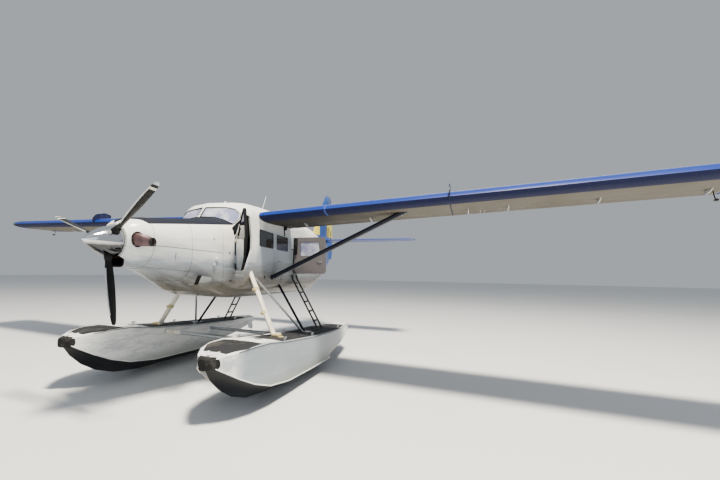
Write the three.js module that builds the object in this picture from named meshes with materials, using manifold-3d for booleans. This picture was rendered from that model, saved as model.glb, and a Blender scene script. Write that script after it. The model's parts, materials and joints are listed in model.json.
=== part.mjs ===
// A high-wing, single-engine utility floatplane, standing on its two float keels.
// Millimetres. +X is the aircraft's left (port) side, -Y its nose, +Z up.
// Inside this file y is counted from the propeller's plane and z from the float keels;
// the last lines move the whole aircraft so that its origin is the middle of its footprint.

import * as THREE from "three";
import { mergeVertices } from "three/addons/utils/BufferGeometryUtils.js";
import Module from "manifold-3d";

const wasm = await Module();
wasm.setup();

// Driving dimensions
const GAP = 0.3; // between pieces that touch
const RUNNING_GAP = 8; // between a moving piece and what it closes against
const SPAN = 17690;
const CHORD = 1980;
const DIHEDRAL = THREE.MathUtils.degToRad(2);
const SPINNER_TIP_Y = -500;
const TAIL_END_Y = 12750;
const WALL = 40; // fuselage wall with its lining
const GLASS = 8;
const GLASS_INSET = 14; // depth of a pane's outer face below the skin
const HUB_Z = 2663;
const FLOAT_X = 1545; // centre line of each float
const FIRE_WALL_Y = 2050;
const CABIN_END_Y = 8200;
const FLOOR_TOP_Z = 2150;
const SIDES = { port: 1, starboard: -1 };

// Paints and finishes
const paint = (color, roughness = 0.35, metalness = 0.1) =>
  new THREE.MeshStandardMaterial({ color, roughness, metalness });
const WHITE = 0xe9eaea;
const BLUE = 0x1c3fae;
const NAVY = 0x141b33;
const YELLOW = 0xe8c83a;
const FLOAT_GREY = 0xc9cdd0;
const SILVER = 0xb9bec2;
const BLACK = 0x17181a;
const GLASS_TINT = 0x26333b;
const SEAT_BLUE = 0x3c4a5c;
const glassPaint = () => paint(GLASS_TINT, 0.05, 0);

// Geometry helpers
const ARC_STEPS = 5;

// A closed three.js geometry as a solid that can be cut and joined.
function solid(geometry) {
  const bare = geometry.clone();
  bare.deleteAttribute("normal");
  bare.deleteAttribute("uv");
  const merged = mergeVertices(bare, 1e-3);
  return new wasm.Manifold(
    new wasm.Mesh({
      numProp: 3,
      vertProperties: new Float32Array(merged.attributes.position.array),
      triVerts: new Uint32Array(merged.index.array),
    }),
  );
}

// The same solid on the other side of the aircraft.
function mirrored(body) {
  const { vertProperties, triVerts } = body.getMesh();
  const flipped = vertProperties.map((v, i) => (i % 3 === 0 ? -v : v));
  const turned = triVerts.map((_, i) => triVerts[i - (i % 3) + (2 - (i % 3))]);
  return new wasm.Manifold(new wasm.Mesh({ numProp: 3, vertProperties: flipped, triVerts: turned }));
}

const onSide = (side, body) => (side > 0 ? body : mirrored(body));
const union = (bodies) => bodies.reduce((all, body) => all.add(body));

function box(x0, x1, y0, y1, z0, z1) {
  const geometry = new THREE.BoxGeometry(x1 - x0, y1 - y0, z1 - z0);
  return solid(geometry.translate((x0 + x1) / 2, (y0 + y1) / 2, (z0 + z1) / 2));
}

// A closed outline of [a, b] points with its corners rounded.
function roundedShape(points, radius) {
  const shape = new THREE.Shape();
  const corner = points.map((p) => new THREE.Vector2(...p));
  corner.forEach((at, i) => {
    const before = corner[(i + corner.length - 1) % corner.length];
    const after = corner[(i + 1) % corner.length];
    const reach = Math.min(radius, at.distanceTo(before) / 2.1, at.distanceTo(after) / 2.1);
    const start = at.clone().add(before.clone().sub(at).setLength(reach));
    const end = at.clone().add(after.clone().sub(at).setLength(reach));
    if (i === 0) shape.moveTo(start.x, start.y);
    else shape.lineTo(start.x, start.y);
    shape.quadraticCurveTo(at.x, at.y, end.x, end.y);
  });
  return shape;
}

// An outline in the Y-Z plane, carried along X.
function sidePrism(points, x0, x1, radius = 0.01) {
  const geometry = new THREE.ExtrudeGeometry(roundedShape(points, radius), {
    depth: x1 - x0,
    bevelEnabled: false,
    curveSegments: ARC_STEPS,
  });
  const basis = new THREE.Matrix4().makeBasis(
    new THREE.Vector3(0, 1, 0),
    new THREE.Vector3(0, 0, 1),
    new THREE.Vector3(1, 0, 0),
  );
  return solid(geometry.applyMatrix4(basis).translate(x0, 0, 0));
}

// An outline in the X-Z plane, carried along Y.
function frontPrism(points, y0, y1, radius = 0.01) {
  const geometry = new THREE.ExtrudeGeometry(roundedShape(points, radius), {
    depth: y1 - y0,
    bevelEnabled: false,
    curveSegments: ARC_STEPS,
  });
  const basis = new THREE.Matrix4().makeBasis(
    new THREE.Vector3(1, 0, 0),
    new THREE.Vector3(0, 0, 1),
    new THREE.Vector3(0, -1, 0),
  );
  return solid(geometry.applyMatrix4(basis).translate(0, y1, 0));
}

// A bar from one point to another with an oval section, wide along the given direction.
function bar(from, to, width, thickness, wide = [0, 1, 0], sides = 8) {
  const a = new THREE.Vector3(...from);
  const b = new THREE.Vector3(...to);
  const along = b.clone().sub(a);
  const length = along.length();
  along.normalize();
  const across = new THREE.Vector3(...wide);
  across.addScaledVector(along, -across.dot(along)).normalize();
  const third = new THREE.Vector3().crossVectors(along, across);
  const geometry = new THREE.CylinderGeometry(0.5, 0.5, length, sides).scale(thickness, 1, width);
  const basis = new THREE.Matrix4().makeBasis(third.clone().negate(), along, across);
  const turned = basis.determinant() > 0 ? basis : basis.makeBasis(third, along, across);
  return solid(geometry.applyMatrix4(turned).translate(...a.add(b).multiplyScalar(0.5).toArray()));
}

// A skin through rings of points that all have the same count, with a flat or peaked cap at each end.
function throughRings(rings) {
  const count = rings[0].length;
  const middle = (ring) => ring.reduce((sum, p) => sum.map((v, k) => v + p[k] / count), [0, 0, 0]);
  const points = rings.flat().concat([middle(rings[0]), middle(rings.at(-1))]);
  const faces = [];
  const first = rings.length * count;
  for (let i = 0; i < count; i++) {
    const next = (i + 1) % count;
    for (let r = 0; r + 1 < rings.length; r++) {
      const a = r * count + i;
      const b = r * count + next;
      faces.push(a, b, b + count, a, b + count, a + count);
    }
    const last = (rings.length - 1) * count;
    faces.push(first, next, i, first + 1, last + i, last + next);
  }
  const geometry = new THREE.BufferGeometry();
  geometry.setAttribute("position", new THREE.Float32BufferAttribute(points.flat(), 3));
  geometry.setIndex(faces);
  const body = solid(geometry);
  if (body.volume() > 0) return body;
  geometry.setIndex(faces.map((_, i) => faces[i - (i % 3) + (2 - (i % 3))]));
  return solid(geometry);
}

// Cuts a neighbour out of a body and leaves the gap of two pieces that touch.
function clearOf(body, neighbour) {
  let rest = body.subtract(neighbour);
  for (const shift of [[GAP, 0, 0], [-GAP, 0, 0], [0, GAP, 0], [0, -GAP, 0], [0, 0, GAP], [0, 0, -GAP]])
    rest = rest.subtract(neighbour.translate(shift));
  return largestPiece(rest);
}

function largestPiece(body) {
  const pieces = body.decompose();
  return pieces.reduce((best, piece) => (piece.volume() > best.volume() ? piece : best));
}

// A body turned about a vertical line.
function turnedAboutZ(body, x, y, degrees) {
  return body.translate([-x, -y, 0]).rotate([0, 0, degrees]).translate([x, y, 0]);
}

const aircraft = new THREE.Group();

function add(name, body, material) {
  const { vertProperties, triVerts } = body.getMesh();
  const geometry = new THREE.BufferGeometry();
  geometry.setAttribute("position", new THREE.BufferAttribute(vertProperties, 3));
  geometry.setIndex(new THREE.BufferAttribute(triVerts, 1));
  geometry.computeVertexNormals();
  const mesh = new THREE.Mesh(geometry, material);
  mesh.name = name;
  aircraft.add(mesh);
}

// Fuselage body
// Columns: y, half width, bottom z, top z, bottom corner radius, top corner radius,
// and how far the upper half sweeps aft at the sides, which gives the windscreen its vee.
const NOSE_RINGS = [
  [145, 300, 2375, 2958, 290, 285, 0],
  [230, 360, 2322, 3030, 340, 330, 0],
  [420, 440, 2268, 3085, 380, 340, 0],
  [900, 560, 2185, 3125, 400, 350, 0],
  [1500, 670, 2005, 3180, 380, 370, 0],
  [FIRE_WALL_Y, 740, 1810, 3245, 340, 400, 0],
];
const CABIN_RINGS = [
  [FIRE_WALL_Y, 740, 1810, 3245, 340, 400, 0],
  [2580, 790, 1695, 3330, 300, 420, 200],
  [2870, 800, 1672, 3640, 280, 330, 300],
  [3000, 800, 1665, 3705, 280, 300, 300],
  [3500, 800, 1655, 3750, 280, 300, 120],
  [4300, 800, 1645, 3765, 280, 300, 0],
  [5900, 800, 1645, 3745, 280, 300, 0],
  [7400, 765, 1655, 3665, 280, 300, 0],
  [CABIN_END_Y, 715, 1680, 3610, 300, 300, 0],
];
const TAIL_RINGS = [
  [CABIN_END_Y, 715, 1680, 3610, 300, 300, 0],
  [9400, 560, 1930, 3510, 280, 270, 0],
  [10700, 350, 2290, 3405, 180, 170, 0],
  [11700, 170, 2590, 3330, 90, 85, 0],
  [12050, 70, 2700, 3300, 45, 45, 0],
];

function bodyRing([y, half, bottom, top, bottomRadius, topRadius, sweep], inset) {
  const width = half - inset;
  const low = bottom + inset;
  const high = top - inset;
  const corners = [
    [width - bottomRadius + inset, low + bottomRadius - inset, bottomRadius - inset, -90],
    [width - topRadius + inset, high - topRadius + inset, topRadius - inset, 0],
    [-width + topRadius - inset, high - topRadius + inset, topRadius - inset, 90],
    [-width + bottomRadius - inset, low + bottomRadius - inset, bottomRadius - inset, 180],
  ];
  const waist = (low + high) / 2;
  const ring = [];
  for (const [cx, cz, r, from] of corners)
    for (let i = 0; i <= ARC_STEPS; i++) {
      const angle = THREE.MathUtils.degToRad(from + (90 * i) / ARC_STEPS);
      const x = cx + r * Math.cos(angle);
      const z = cz + r * Math.sin(angle);
      const lift = THREE.MathUtils.clamp((z - waist) / (high - waist) / 0.5, 0, 1);
      ring.push([x, y + sweep * lift * Math.abs(x / width), z]);
    }
  ring.splice(2 * (ARC_STEPS + 1), 0, [0, y, high]); // the top edge has a middle, which isn't swept
  return ring;
}

const bodyShape = (rows, inset = 0) => throughRings(rows.map((row) => bodyRing(row, inset)));
const everything = 20000;
const aheadOf = (y) => box(-everything, everything, -everything, y, -everything, everything);
const behind = (y) => box(-everything, everything, y, everything, -everything, everything);

const cabinOuter = bodyShape(CABIN_RINGS);
const cabinInner = bodyShape(CABIN_RINGS, WALL);
const cabinPaneSkin = bodyShape(CABIN_RINGS, GLASS_INSET).subtract(
  bodyShape(CABIN_RINGS, GLASS_INSET + GLASS),
);

// Window and door outlines, [y, z], on both sides of the cabin
const REVEAL_X = [450, 1200]; // the cut runs through the side wall only
const WINDOW_ROUND = 60;
const SIDE_WINDOWS = {
  front: [[3920, 2790], [4750, 2770], [4750, 3150], [3920, 3190]],
  rear: [[4930, 2760], [5700, 2745], [5700, 3115], [4930, 3140]],
};
const PILOT_DOOR = [
  [2760, 2230], [3220, 2230], [3540, 2680], [3540, 2960], [3440, 3420], [3300, 3440], [2760, 2900],
];
const PILOT_PANE = [[2850, 2860], [3450, 2820], [3450, 2950], [3370, 3340], [3270, 3350], [2850, 2935]];
const CABIN_DOOR_Z = [2170, 3160];
const FRONT_LEAF_Y = [6120, 6970];
const REAR_LEAF_Y = [6970, 7310];
const STARBOARD_DOOR_Y = [6320, 7080];
const DOOR_PANE_Z = [2640, 3030];
const DOOR_PANE_MARGIN = 165;

const upright = ([y0, y1], [z0, z1]) => [[y0, z0], [y1, z0], [y1, z1], [y0, z1]];

// The same outline with every edge moved inwards.
function inward(points, by) {
  const corner = points.map((p) => new THREE.Vector2(...p));
  const turn = Math.sign(THREE.ShapeUtils.area(corner));
  const edges = corner.map((a, i) => {
    const b = corner[(i + 1) % corner.length];
    const along = b.clone().sub(a).normalize();
    const normal = new THREE.Vector2(-along.y, along.x).multiplyScalar(turn);
    return { along, start: a.clone().addScaledVector(normal, by) };
  });
  return edges.map((edge, i) => {
    const before = edges[(i + edges.length - 1) % edges.length];
    const share = edge.start.clone().sub(before.start).cross(edge.along) / before.along.cross(edge.along);
    return before.start.clone().addScaledVector(before.along, share).toArray();
  });
}

const cut = (points, side, radius = WINDOW_ROUND) =>
  onSide(side, sidePrism(points, REVEAL_X[0], REVEAL_X[1], radius));

// Windscreen: one pane each side of a centre post, outlined in front view as [x, z]
const SCREEN_Y = [2400, 3480];
const SCREEN_PANE = [[32, 3350], [350, 3330], [560, 3268], [725, 3180], [752, 3330], [735, 3440], [640, 3530], [470, 3570], [32, 3580]];
const SCREEN_ROUND = 25;
const screenCut = (side, by = 0) =>
  onSide(side, frontPrism(inward(SCREEN_PANE, by), SCREEN_Y[0], SCREEN_Y[1], SCREEN_ROUND));

const cabinDoorways = {
  port: upright([FRONT_LEAF_Y[0], REAR_LEAF_Y[1]], CABIN_DOOR_Z),
  starboard: upright(STARBOARD_DOOR_Y, CABIN_DOOR_Z),
};

const cabinCavity = cabinInner
  .subtract(aheadOf(FIRE_WALL_Y + WALL))
  .add(bodyShape(CABIN_RINGS.slice(-2), WALL).translate([0, 5, 0]));
let fuselage = cabinOuter.subtract(cabinCavity);
for (const [name, side] of Object.entries(SIDES)) {
  fuselage = fuselage.subtract(screenCut(side));
  for (const outline of Object.values(SIDE_WINDOWS)) fuselage = fuselage.subtract(cut(outline, side));
  fuselage = fuselage.subtract(cut(PILOT_DOOR, side));
  fuselage = fuselage.subtract(cut(cabinDoorways[name], side, 110));
}

// Wings
const WING_ROOT_X = 520; // inside the roof's round edge, which the root is cut to
const WING_LE_Y = 3890;
const WING_LE_Z = 3458;
const WASH = 100; // how much lower the trailing edge lies than the leading edge
const WING_THICKNESS = 0.135;
const SECTION_STEPS = 9;
const TIP_X = SPAN / 2;
// Columns: x, share of the full chord, share of the full thickness
const WING_STATIONS = [
  [WING_ROOT_X, 1, 1],
  [TIP_X - 420, 1, 1],
  [TIP_X - 190, 0.97, 0.85],
  [TIP_X - 60, 0.88, 0.6],
  [TIP_X, 0.74, 0.3],
];

// Points round a cambered section of unit chord, from the trailing edge over the top and back below.
function wingOutline() {
  const points = [];
  const half = (t) =>
    5 * WING_THICKNESS * (0.2969 * Math.sqrt(t) - 0.126 * t - 0.3516 * t ** 2 + 0.2843 * t ** 3 - 0.1015 * t ** 4);
  const camber = (t) => 0.1 * t * (1 - t);
  for (let i = 0; i <= SECTION_STEPS; i++) {
    const t = (1 + Math.cos((Math.PI * i) / SECTION_STEPS)) / 2;
    points.push([t, camber(t) + half(t)]);
  }
  for (let i = SECTION_STEPS - 1; i >= 0; i--) {
    const t = (1 + Math.cos((Math.PI * i) / SECTION_STEPS)) / 2;
    points.push([t, camber(t) - half(t) - (i === 0 ? 0.004 : 0)]);
  }
  return points;
}

function wingRing([x, chordShare, thickShare]) {
  const lead = WING_LE_Y + (1 - chordShare) * CHORD * 0.45;
  const tilt = WASH / CHORD;
  return wingOutline().map(([t, h]) => {
    const back = t * CHORD * chordShare;
    return [x, lead + back, WING_LE_Z + x * Math.tan(DIHEDRAL) - back * tilt + h * CHORD * thickShare];
  });
}

const wingWhole = throughRings(WING_STATIONS.map(wingRing));

// Flaps and ailerons hang on hinge lines just under the wing's skin, parallel to its trailing edge
const HINGE_Y = WING_LE_Y + 0.74 * CHORD;
const NOSE_RADIUS = 72;
const PIN_RADIUS = 12;
const FLAP_X = [960, 5060];
const AILERON_X = [5140, 8380];
const hingeZ = (x) => WING_LE_Z + x * Math.tan(DIHEDRAL) - 0.74 * WASH + 38;

// A round bar along the hinge line, its ends square to the wing's span.
function alongHinge([x0, x1], radius) {
  const [from, to] = [x0 - 60, x1 + 60].map((x) => [x, HINGE_Y, hingeZ(x)]);
  const round = bar(from, to, 2 * radius, 2 * radius, [0, 1, 0], 20);
  return round.intersect(box(x0, x1, 0, everything, 0, everything));
}

// A flap or aileron: the section behind the hinge line, its round nose, and a hinge pin at each end.
function trailingSurface([x0, x1]) {
  const rear = wingWhole.intersect(box(x0, x1, HINGE_Y, everything, 0, everything));
  const reach = RUNNING_GAP - GAP;
  return union([rear, alongHinge([x0, x1], NOSE_RADIUS), alongHinge([x0 - reach, x1 + reach], PIN_RADIUS)]);
}

let wing = wingWhole;
for (const [x0, x1] of [FLAP_X, AILERON_X]) {
  const bay = [x0 - RUNNING_GAP, x1 + RUNNING_GAP];
  wing = wing.subtract(box(bay[0], bay[1], HINGE_Y, everything, 0, everything));
  wing = wing.subtract(alongHinge(bay, NOSE_RADIUS + RUNNING_GAP));
}

// A low fence stands across each wing's leading edge
const FENCE_X = 4560;
const FENCE_THICK = 10;
const FENCE = [[-70, -25], [-75, 110], [60, 240], [420, 315], [700, 270], [640, 60], [60, -40]];
const fence = sidePrism(
  FENCE.map(([y, z]) => [WING_LE_Y + y, WING_LE_Z + FENCE_X * Math.tan(DIHEDRAL) + z]),
  FENCE_X,
  FENCE_X + FENCE_THICK,
  60,
);
wing = clearOf(wing.add(fence), cabinOuter);

// Lift struts run from the lower side of the cabin to the middle of each wing
const LIFT_STRUT = { from: [720, 4700, 2040], to: [3980, 4640, 3600], chord: 290, thickness: 105 };
const liftStrut = clearOf(
  clearOf(bar(LIFT_STRUT.from, LIFT_STRUT.to, LIFT_STRUT.chord, LIFT_STRUT.thickness, [0, 1, 0], 16), cabinOuter),
  wing,
);

// Nose
const SPINNER_BACK_Y = 128;
const SPINNER_R = 255;
const COWL_WALL = 22;
const NOSE_OPENING_RADIUS = 190;
const INTAKE_X = 190;
const INTAKE_Z = [2255, 2440];
// Columns: x, y, z of the stub's middle, half width, half height, and how far it is turned from straight out to aft
const EXHAUST_RINGS = [
  [120, 325, 2680, 62, 100, 0],
  [330, 280, 2700, 62, 108, 20],
  [440, 312, 2690, 60, 100, 38],
  [515, 392, 2674, 58, 84, 60],
  [546, 479, 2661, 56, 69, 74],
];
const EXHAUST_WALL = 12;

const noseOuter = bodyShape(NOSE_RINGS);
const noseInner = bodyShape(NOSE_RINGS, COWL_WALL).intersect(behind(NOSE_RINGS[0][0] + COWL_WALL));
let cowling = noseOuter
  .subtract(noseInner.add(bodyShape(NOSE_RINGS.slice(-2), COWL_WALL).translate([0, 5, 0])))
  .intersect(aheadOf(FIRE_WALL_Y - GAP));
cowling = cowling.subtract(
  bar([0, 0, HUB_Z], [0, 400, HUB_Z], 2 * NOSE_OPENING_RADIUS, 2 * NOSE_OPENING_RADIUS, [1, 0, 0], 28),
);

// Chin intake: a rubber-lipped duct below the spinner
const intakeOutline = (by) => [
  [-INTAKE_X + by, INTAKE_Z[0] + by], [INTAKE_X - by, INTAKE_Z[0] + by],
  [INTAKE_X - by, INTAKE_Z[1] - by], [-INTAKE_X + by, INTAKE_Z[1] - by],
];
const INTAKE_Y = [205, 620];
const INTAKE_LIP = 26;
const spinnerSweep = bar([0, -400, HUB_Z], [0, 230, HUB_Z], 2 * 285, 2 * 285, [1, 0, 0], 28);
const chinIntake = largestPiece(
  frontPrism(intakeOutline(0), INTAKE_Y[0], INTAKE_Y[1], 110)
    .subtract(frontPrism(intakeOutline(INTAKE_LIP), INTAKE_Y[0] - 50, INTAKE_Y[1] - INTAKE_LIP, 95))
    .subtract(spinnerSweep),
);
cowling = cowling.subtract(frontPrism(intakeOutline(-GAP), -100, INTAKE_Y[1] + 20, 110));

// Exhaust stubs leave oval ports in the cowling's sides and turn aft
function exhaustRing([x, y, z, halfWidth, halfHeight, turn], by) {
  const angle = THREE.MathUtils.degToRad(turn);
  return Array.from({ length: 12 }, (_, i) => {
    const a = (Math.PI * 2 * i) / 12;
    const across = Math.cos(a) * (halfWidth + by);
    return [x - across * Math.sin(angle), y + across * Math.cos(angle), z + Math.sin(a) * (halfHeight + by)];
  });
}
const exhaustTube = (rows, by) => throughRings(rows.map((row) => exhaustRing(row, by)));
const past = ([x, y, z, ...rest], by) => [x + by * 0.25, y + by, z, ...rest];
const exhaustBore = exhaustTube([...EXHAUST_RINGS.slice(2, 4), past(EXHAUST_RINGS[4], 40)], -EXHAUST_WALL);
const drum = (y0, y1, radius, sides = 20) =>
  bar([0, y0, HUB_Z], [0, y1, HUB_Z], 2 * radius, 2 * radius, [1, 0, 0], sides);
const ENGINE = { front: 240, step: 660, rear: 1600, frontRadius: 180, radius: 215 };
const engineBlock = drum(ENGINE.front, ENGINE.step, ENGINE.frontRadius)
  .add(drum(ENGINE.step, ENGINE.rear, ENGINE.radius));
const exhaustStub = clearOf(exhaustTube(EXHAUST_RINGS, 0).subtract(exhaustBore), engineBlock);
const exhaustPort = bar([300, 280, 2695], [620, 366, 2690], 170, 250, [0, 1, 0], 16);
for (const side of Object.values(SIDES)) cowling = cowling.subtract(onSide(side, exhaustPort));
cowling = largestPiece(cowling);

// Oil cooler scoop on the port side of the cowling
const SCOOP = { x: [560, 790], y: [1430, 1900], z: [1960, 2140], lip: 16 };
const scoopSide = [
  [SCOOP.y[0], SCOOP.z[0]], [SCOOP.y[1], SCOOP.z[0] + 70], [SCOOP.y[1], SCOOP.z[1] - 40], [SCOOP.y[0], SCOOP.z[1]],
];
const oilScoop = clearOf(
  sidePrism(scoopSide, SCOOP.x[0], SCOOP.x[1], 30)
    .intersect(frontPrism([[560, 1900], [790, 1980], [760, 2140], [560, 2200]], 1400, 1950, 30))
    .subtract(box(500, 745, 1300, 1780, SCOOP.z[0] + SCOOP.lip, SCOOP.z[1] - SCOOP.lip)),
  noseOuter,
);

// Engine: one plain block on four mount tubes that reach the fire wall
const MOUNT_FOOT = { x: 330, z: [2180, 2980] };
const gearbox = drum(160, 300, 150).add(drum(SPINNER_BACK_Y + 8 + GAP, 200, 60));
const mounts = [1, -1].flatMap((s) =>
  MOUNT_FOOT.z.map((z) =>
    bar([s * 100, 1250, HUB_Z + Math.sign(z - HUB_Z) * 80], [s * MOUNT_FOOT.x, FIRE_WALL_Y + 60, z], 50, 50)),
);
const engine = union([engineBlock, gearbox, ...mounts]).intersect(aheadOf(FIRE_WALL_Y - GAP));

// Propeller: hub, back plate and three feathered blades
const BLADES = 3;
const BLADE_ANGLE = 9.4; // the blade nearest the bottom leans this far to port
const PROP_R = 1312;
// Columns: radius, chord, thickness, blade angle from the disc in degrees
const BLADE_STATIONS = [
  [90, 96, 92, 100],
  [290, 104, 88, 100],
  [430, 160, 42, 97],
  [760, 196, 26, 90],
  [1050, 182, 17, 84],
  [1240, 142, 12, 81],
  [PROP_R, 84, 8, 80],
];
function bladeRing([radius, chord, thick, pitch]) {
  const angle = THREE.MathUtils.degToRad(pitch);
  return Array.from({ length: 12 }, (_, i) => {
    const turn = (Math.PI * 2 * i) / 12;
    const u = (Math.cos(turn) * chord) / 2;
    const v = (Math.sin(turn) * thick) / 2;
    return [u * Math.cos(angle) - v * Math.sin(angle), u * Math.sin(angle) + v * Math.cos(angle), radius];
  });
}
const aboutHub = (body, degrees) => body.rotate([0, degrees, 0]).translate([0, 0, HUB_Z]);
const blade = throughRings(BLADE_STATIONS.map(bladeRing));
const bladeTurn = (k) => 180 - BLADE_ANGLE + (k * 360) / BLADES;
const turns = Array.from({ length: BLADES }, (_, k) => bladeTurn(k));
const hub = bar([0, -130, HUB_Z], [0, SPINNER_BACK_Y, HUB_Z], 230, 230, [1, 0, 0], 18);
const backPlate = bar([0, SPINNER_BACK_Y, HUB_Z], [0, SPINNER_BACK_Y + 8, HUB_Z], 2 * SPINNER_R, 2 * SPINNER_R,
  [1, 0, 0], 36);
const propeller = union([hub, backPlate, ...turns.map((t) => aboutHub(blade, t))]);

// Spinner: a polished shell with a round hole at each blade
const SPINNER_WALL = 6;
const SPINNER_STEPS = 6;
function spinnerShape(inset) {
  const length = SPINNER_BACK_Y - GAP - SPINNER_TIP_Y;
  const points = [new THREE.Vector2(0, inset > 0 ? -30 : 0)];
  for (let i = 0; i <= SPINNER_STEPS; i++) {
    const t = i / SPINNER_STEPS;
    const radius = (SPINNER_R - inset) * (1 - t ** 1.75) ** 0.93;
    points.push(new THREE.Vector2(Math.max(radius, 0), t * (length - 2 * inset) + (i === 0 && inset > 0 ? -30 : 0)));
  }
  const geometry = new THREE.LatheGeometry(points, 26).rotateX(Math.PI);
  return solid(geometry).translate([0, SPINNER_BACK_Y - GAP, HUB_Z]);
}
const bladeHole = bar([0, 0, 120], [0, 0, 420], 150, 150, [1, 0, 0], 12);
let spinner = spinnerShape(0).subtract(spinnerShape(SPINNER_WALL));
for (const t of turns) spinner = spinner.subtract(aboutHub(bladeHole, t));
spinner = largestPiece(spinner);

// Tail
const FIN_THICK = 130;
const RUDDER_Y = 12100;
const TAIL_TOP_Z = 5330;
const STAB = { z: 3430, half: 3230, lead: 10850, hinge: 11690, end: 12160, thick: 96, tipLead: 11150 };
const ELEVATOR_INNER_X = 175;

// A tail surface section of unit chord: rounded ahead, thin behind.
function finRing(height, lead, end, thick, axis) {
  const outline = [[0, 0], [0.06, 0.62], [0.3, 1], [0.7, 0.72], [1, 0.3]];
  const both = outline.concat(outline.slice(1).reverse().map(([t, h]) => [t, -h]));
  return both.map(([t, h]) => {
    const along = lead + t * (end - lead);
    const off = (h * thick) / 2;
    return axis === "z" ? [off, along, height] : [height, along, STAB.z + off];
  });
}

const stabilizerWhole = throughRings([
  finRing(-STAB.half, STAB.tipLead + 120, STAB.end - 110, STAB.thick * 0.35, "x"),
  finRing(-STAB.half + 130, STAB.tipLead, STAB.end, STAB.thick * 0.75, "x"),
  finRing(0, STAB.lead, STAB.end, STAB.thick, "x"),
  finRing(STAB.half - 130, STAB.tipLead, STAB.end, STAB.thick * 0.75, "x"),
  finRing(STAB.half, STAB.tipLead + 120, STAB.end - 110, STAB.thick * 0.35, "x"),
]);
const elevatorNose = (radius, x0, x1) =>
  bar([x0, STAB.hinge, STAB.z], [x1, STAB.hinge, STAB.z], 2 * radius, 2 * radius, [0, 1, 0], 16);
const ELEVATOR_NOSE_R = 37;
const TORQUE_TUBE_R = 22;
const stabilizer = largestPiece(
  stabilizerWhole
    .intersect(aheadOf(STAB.hinge))
    .subtract(elevatorNose(ELEVATOR_NOSE_R + RUNNING_GAP, -everything / 2, everything / 2)),
);
const elevatorOutline = [
  [ELEVATOR_INNER_X, STAB.hinge], [STAB.half + 50, STAB.hinge], [STAB.half + 50, STAB.end + 50],
  [ELEVATOR_INNER_X + 150, STAB.end + 50],
];
const elevatorPlan = solid(
  new THREE.ExtrudeGeometry(roundedShape(elevatorOutline, 0.01), { depth: 400, bevelEnabled: false }),
).translate([0, 0, STAB.z - 200]);
const elevatorHalf = stabilizerWhole
  .intersect(elevatorPlan)
  .add(elevatorNose(ELEVATOR_NOSE_R, ELEVATOR_INNER_X, STAB.half - 130));
const elevator = union([
  elevatorHalf,
  mirrored(elevatorHalf),
  elevatorNose(TORQUE_TUBE_R, -ELEVATOR_INNER_X - 5, ELEVATOR_INNER_X + 5),
]);

const finWhole = throughRings([
  finRing(3200, 9950, TAIL_END_Y - 20, FIN_THICK, "z"),
  finRing(3470, 10110, TAIL_END_Y - 10, FIN_THICK, "z"),
  finRing(5000, 11600, TAIL_END_Y - 60, FIN_THICK * 0.75, "z"),
  finRing(5240, 11850, TAIL_END_Y - 130, FIN_THICK * 0.6, "z"),
  finRing(TAIL_TOP_Z, 12000, TAIL_END_Y - 230, FIN_THICK * 0.35, "z"),
]);
const dorsal = sidePrism([[8900, 3400], [10400, 3300], [10700, 4050], [10150, 3560]], -14, 14, 40);
const TAIL_WALL = 28;
const tailOuter = bodyShape(TAIL_RINGS);
const tailShell = tailOuter
  .subtract(bodyShape(TAIL_RINGS.slice(0, 4), TAIL_WALL))
  .subtract(bodyShape(TAIL_RINGS.slice(0, 2), TAIL_WALL).translate([0, -5, 0]))
  .intersect(behind(CABIN_END_Y + GAP));
const RUDDER_NOSE_R = 47;
const RUDDER_FOOT_Z = 2720;
const NOSE_TAPER_Z = 5240;
// The rudder's round nose, grown all round for the hollow that it turns in
function rudderNose(grown) {
  const wide = RUDDER_NOSE_R + grown;
  const top = TAIL_TOP_Z - 2 + grown;
  const cone = new THREE.CylinderGeometry(wide - RUDDER_NOSE_R / 2, wide, top - NOSE_TAPER_Z, 16);
  return bar([0, RUDDER_Y, RUDDER_FOOT_Z], [0, RUDDER_Y, NOSE_TAPER_Z], 2 * wide, 2 * wide, [0, 1, 0], 16).add(
    solid(cone.rotateX(Math.PI / 2)).translate([0, RUDDER_Y, (NOSE_TAPER_Z + top) / 2]),
  );
}
const rudderShoe = box(-16, 16, 11950, RUDDER_Y + 14, RUDDER_FOOT_Z - 24, RUDDER_FOOT_Z - GAP);
const tailCone = clearOf(largestPiece(tailShell.add(rudderShoe)), stabilizer);
const fin = clearOf(
  clearOf(
    largestPiece(finWhole.add(dorsal).intersect(aheadOf(RUDDER_Y)).subtract(rudderNose(RUNNING_GAP))),
    tailOuter,
  ),
  stabilizer,
).subtract(elevatorNose(TORQUE_TUBE_R + 0.8, -200, 200));
const rudderLow = throughRings([
  finRing(RUDDER_FOOT_Z + 30, 12060, TAIL_END_Y - 160, 95, "z"),
  finRing(3000, 12060, TAIL_END_Y - 30, 105, "z"),
  finRing(3480, 12060, TAIL_END_Y, 110, "z"),
]).intersect(behind(RUDDER_Y));
const rudder = largestPiece(
  finWhole
    .intersect(behind(RUDDER_Y))
    .intersect(box(-500, 500, 0, everything, 3470, everything))
    .add(rudderLow)
    .add(rudderNose(0)),
);

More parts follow.
